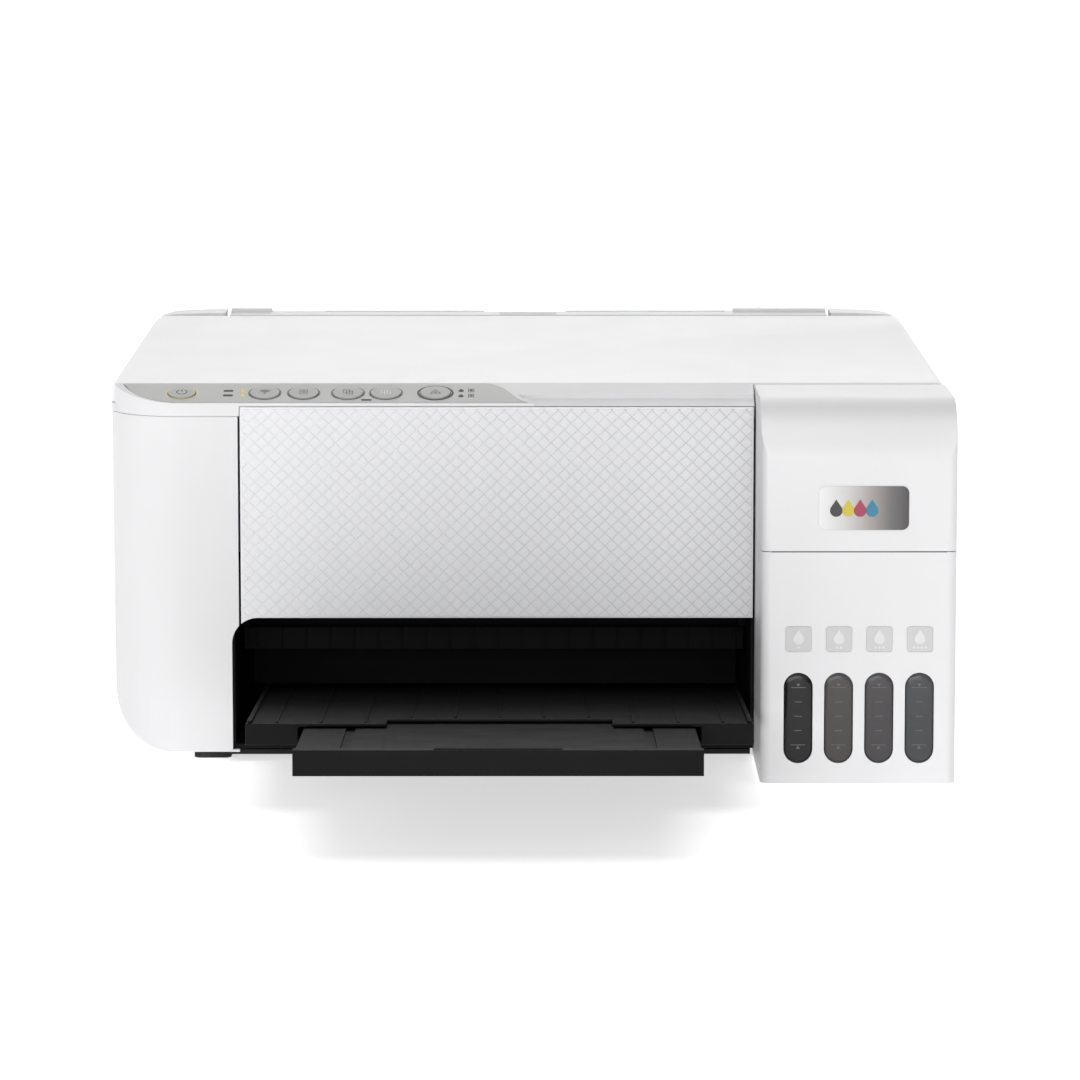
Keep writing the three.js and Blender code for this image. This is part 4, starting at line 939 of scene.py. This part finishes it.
def engine_details():
    """Encoder strip, damper caps in the carriage, foam on the platen, tyre ribs, cap foam and wipers."""
    strip = [bar(-137, 113, 178, 118)]
    face = front_frame(126.9 * MM)
    group("encoder_strip", face, "chassis", PRINT_PALE, strip, -0.1, 0.1)
    low = box_mm("carriage")[0]
    face = top_frame(84 * MM)
    for k, ink in enumerate(INKS):
        x = low.x + 2.5 + 14.75 * k
        cap = [bar(x + 0.6, 83, x + 12, 117, 2)]
        group(f"damper_{ink}", face, "carriage", NATURAL, cap, -0.2, 22, bevel=1.0)
        spot = [disc((x + 6.3) * MM, 108 * MM, 3 * MM, 24)]
        group(f"damper_spigot_{ink}", face, "carriage", CAPS[ink], spot, 21.5, 26, bevel=0.5)
    low = box_mm("platen")[0]
    strips = long_bars(70, 106, low.x + 12, 17, 21, 10, 1.5)
    group("platen_foam", top_frame(57 * MM), "chassis", PAD, strips, -0.3, 1.8, bevel=0.4)
    low, high = box_mm("pickup_roller")
    tyre = disc((low.y + high.y) / 2 * MM, (low.z + high.z) / 2 * MM, 12.95 * MM, 48)
    bm = bmesh.new()
    for k in range(16):
        x = -36.5 + k * 2.8
        add_stroke(bm, tyre, 0.5 * MM, x * MM, (x + 1.3) * MM, closed=True)
    piece_from(bm, "pickup_tyre_ribs", side_frame(), "pickup_roller", RUBBER)
    low, high = box_mm("capping_station")
    pad = [bar(122, 80, 156, 102, 2)]
    group("cap_foam", top_frame(62 * MM), "chassis", PAD, pad, -0.2, 2.4, bevel=0.5)
    blades = [bar(x, 78, x + 2.5, 104, 0.8) for x in (low.x + 7.5, high.x - 14)]
    group("wiper_blades", top_frame(52 * MM), "chassis", RUBBER, blades, -0.2, 12, bevel=0.3)


def board_details():
    """Connectors, capacitors and solder points on the main board."""
    side = side_frame()
    face_x = box_mm("main_board")[0].x + 1.6  # the board is 1.6 thick
    sockets = long_bars(114, 119, 66, 18, 26, 5, 0.5)
    group("board_sockets", side, "chassis", NATURAL, sockets, face_x - 0.2, face_x + 5,
          bevel=0.3)
    cans = [disc((70 + k * 11) * MM, 44 * MM, 3.2 * MM, 20) for k in range(8)]
    group("board_capacitors", side, "chassis", TURNED, cans, face_x - 0.2, face_x + 6, bevel=0.4)
    points = [disc((100 + k % 20 * 4.4) * MM, (52 + k // 20 * 2.6) * MM, 0.5 * MM, 8) for k in range(60)]
    group("board_solder", side, "chassis", STEEL, points, face_x - 0.1, face_x + 0.25)


def rear_details():
    """Vents, screws and a blank plate on the back; marks and grips on the paper support, guard and guides."""
    back = back_frame(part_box("rear_housing")[1].y)
    slots = long_bars(30, 56, -60, 2.6, 6, 20, 1.25)
    # The vent slots are flat dark patches in raised rims: painted shade of their openings.
    group("vent_slot_shade", back, "chassis", PAINTED_GAP_SHADE, slots, -0.2, 0.05)
    bm = bmesh.new()
    for outline in slots:
        add_stroke(bm, outline, 0.6 * MM, -0.1 * MM, 0.5 * MM, closed=True)
    piece_from(bm, "vent_rims", back, "chassis", WHITE)
    screws("rear_screw", back, "chassis", [(-172, 22), (-172, 120), (172, 120), (100, 14), (-100, 14)])
    plate = [bar(84, 26, 124, 52, 1.5)]
    group("data_plate", back, "chassis", LABEL, plate, -0.1, 0.2, bevel=0.08)
    low, high = box_mm("paper_support")
    face = front_frame(low.y * MM)
    ribs = [bar(x - 0.7, low.z + 14, x + 0.7, high.z - 8, 0.6) for x in (-130, -112, 112, 130)]
    group("support_ribs", face, "paper_support", WHITE, ribs, -0.2, 0.9, bevel=0.2)
    marks = [bar(x - 0.25, high.z - 14, x + 0.25, high.z - 7) for x in (-142, -124, 106, 120)]
    group("support_marks", face, "paper_support", PRINT_DARK, marks, -0.1, 0.08)
    high = box_mm("support_extension")[1]
    pull = [[(-x, y) for x, y in outline] for outline in cross_bars(-18, 15, high.z - 12, 2.5, 4.5, 2, 1)]
    face = back_frame(high.y * MM)
    group("extension_pull", face, "support_extension", WHITE, pull, -0.2, 0.3)
    low, high = box_mm("feeder_guard")
    face = top_frame(high.z * MM)
    ridges = cross_bars(-14, 14, low.y + 3, 0.8, 2, 4, 0.35)
    group("guard_grip", face, "feeder_guard", WHITE, ridges, -0.2, 0.35, bevel=0.1)
    for hand in ("left", "right"):
        low, high = box_mm(f"edge_guide_{hand}")
        face = top_frame(high.z * MM)
        inner = low.x + 1.5 if hand == "right" else high.x - 1.5
        ticks = cross_bars(inner - 0.9, inner + 0.9, low.y + 1, 0.6, 1.6, 5, 0.25)
        group(f"guide_grip_{hand}", face, f"edge_guide_{hand}", KEY, ticks, -0.2, 0.5,
              bevel=0.08)


def underside():
    """Stiffening ribs, screws and a blank plate under the base pan."""
    face = bottom_frame(box_mm("base_pan")[0].z * MM)
    across = cross_bars(-168, 128, 40, 1.4, 38, 5)
    along = long_bars(6, 226, -150, 1.4, 45, 7)
    for k, outline in enumerate(across + along):
        depth = 1.6 if k < len(across) else 1.55  # the crossing faces stay a hair apart
        group(f"base_rib_{k + 1}", face, "chassis", ENGINE_BLACK, [outline], -0.2, depth,
              bevel=0.15)
    screws("base_screw", face, "chassis", [(x, y) for y in (24, 210) for x in (-140, -20, 110)])
    plate = [bar(-56, 84, -19, 110, 2)]
    group("base_plate", face, "chassis", LABEL, plate, -0.1, 0.2, bevel=0.08)


def power_supply_details():
    """Vent slots in the front of the power supply's case, drawn as flat dark patches of painted shade."""
    low = box_mm("power_supply")[0]
    face = front_frame(low.y * MM)
    slots = long_bars(18, 50, low.x + 8, 2.4, 6, 9, 1.1)
    group("supply_slot_shade", face, "chassis", PAINTED_GAP_SHADE, slots, -0.2, 0.06)


tank_seam_shade()
tank_shield()
seam_lip()
scanner_bed()
scanner_well()
tank_caps()
tray_details()
output_mouth()
engine_details()
board_details()
rear_details()
underside()
power_supply_details()


# ---- floor, light and camera ----
def floor():
    """Pale floor that curves up into a wall far behind."""
    s = Shader("studio_floor")
    s.bsdf.inputs["Specular IOR Level"].default_value = 0.1
    s.bsdf.inputs["Roughness"].default_value = 0.9
    s.link(s.ramp(s.noise(3, 2), [(0.3, (0.93, 0.93, 0.93)), (0.7, (0.96, 0.96, 0.96))]),
           s.bsdf.inputs["Base Color"])
    s.bsdf.inputs["Emission Color"].default_value = (1, 1, 1, 1)
    away = s.add("ShaderNodeVectorMath")
    away.operation = "LENGTH"
    s.link(s.coords, away.inputs[0])
    glow = s.add("ShaderNodeMapRange", From_Min=0.5, From_Max=2.6, To_Min=0.62, To_Max=0.95)
    s.link(away.outputs["Value"], glow.inputs["Value"])
    s.link(glow.outputs["Result"], s.bsdf.inputs["Emission Strength"])
    bm = bmesh.new()
    turn = [(5 + 2 * math.sin(math.radians(a)), 2 - 2 * math.cos(math.radians(a))) for a in range(10, 91, 10)]
    line = [(-12.0, 0.0), (5.0, 0.0)] + turn + [(7.0, 9.0)]
    rows = [[bm.verts.new((x, y, z - 0.0002)) for y, z in line] for x in (-9, 9)]
    for i in range(len(line) - 1):
        bm.faces.new((rows[1][i], rows[1][i + 1], rows[0][i + 1], rows[0][i]))
    mesh = bpy.data.meshes.new("floor")
    bm.to_mesh(mesh)
    bm.free()
    mesh.materials.append(s.material)
    for face in mesh.polygons:
        face.use_smooth = True
    sheet = bpy.data.objects.new("floor", mesh)
    bpy.context.scene.collection.objects.link(sheet)


def area_light(name, place, target, size, power):
    data = bpy.data.lights.new(name, "AREA")
    data.shape = "RECTANGLE"
    data.size, data.size_y = size
    data.energy = power
    lamp_object = bpy.data.objects.new(name, data)
    lamp_object.location = place
    lamp_object.rotation_euler = (Vector(target) - Vector(place)).to_track_quat("-Z", "Y").to_euler()
    bpy.context.scene.collection.objects.link(lamp_object)


def studio():
    floor()
    world = bpy.data.worlds.new("studio_world")
    world.use_nodes = True
    background = world.node_tree.nodes["Background"]
    background.inputs["Color"].default_value = (1, 1, 1, 1)
    background.inputs["Strength"].default_value = 0.15
    bpy.context.scene.world = world
    area_light("key", (-1.4, -2.2, 1.0), (0, 0, 0.08), (1.2, 1.0), 10)
    area_light("front", (-0.3, -2.8, 0.5), (0, 0, 0.08), (1.6, 0.8), 16)
    area_light("rear", (0.6, 2.6, 1.6), (0, 0, 0.08), (2.0, 1.4), 4)
    area_light("top", (0, -0.8, 1.9), (0, 0, 0.1), (2.0, 1.3), 17)


def camera():
    """Long lens a little above the printer, looking slightly down, as in a product picture."""
    data = bpy.data.cameras.new("camera")
    data.lens = 172.34
    data.sensor_width = 36
    data.clip_end = 50
    eye = bpy.data.objects.new("camera", data)
    eye.location = (-0.00008, -2.31333, 0.41607)
    eye.rotation_euler = (math.radians(90 - 7.8437), 0, math.radians(-0.138))
    bpy.context.scene.collection.objects.link(eye)
    bpy.context.scene.camera = eye


studio()
camera()
scene = bpy.context.scene
scene.view_settings.view_transform = "Standard"
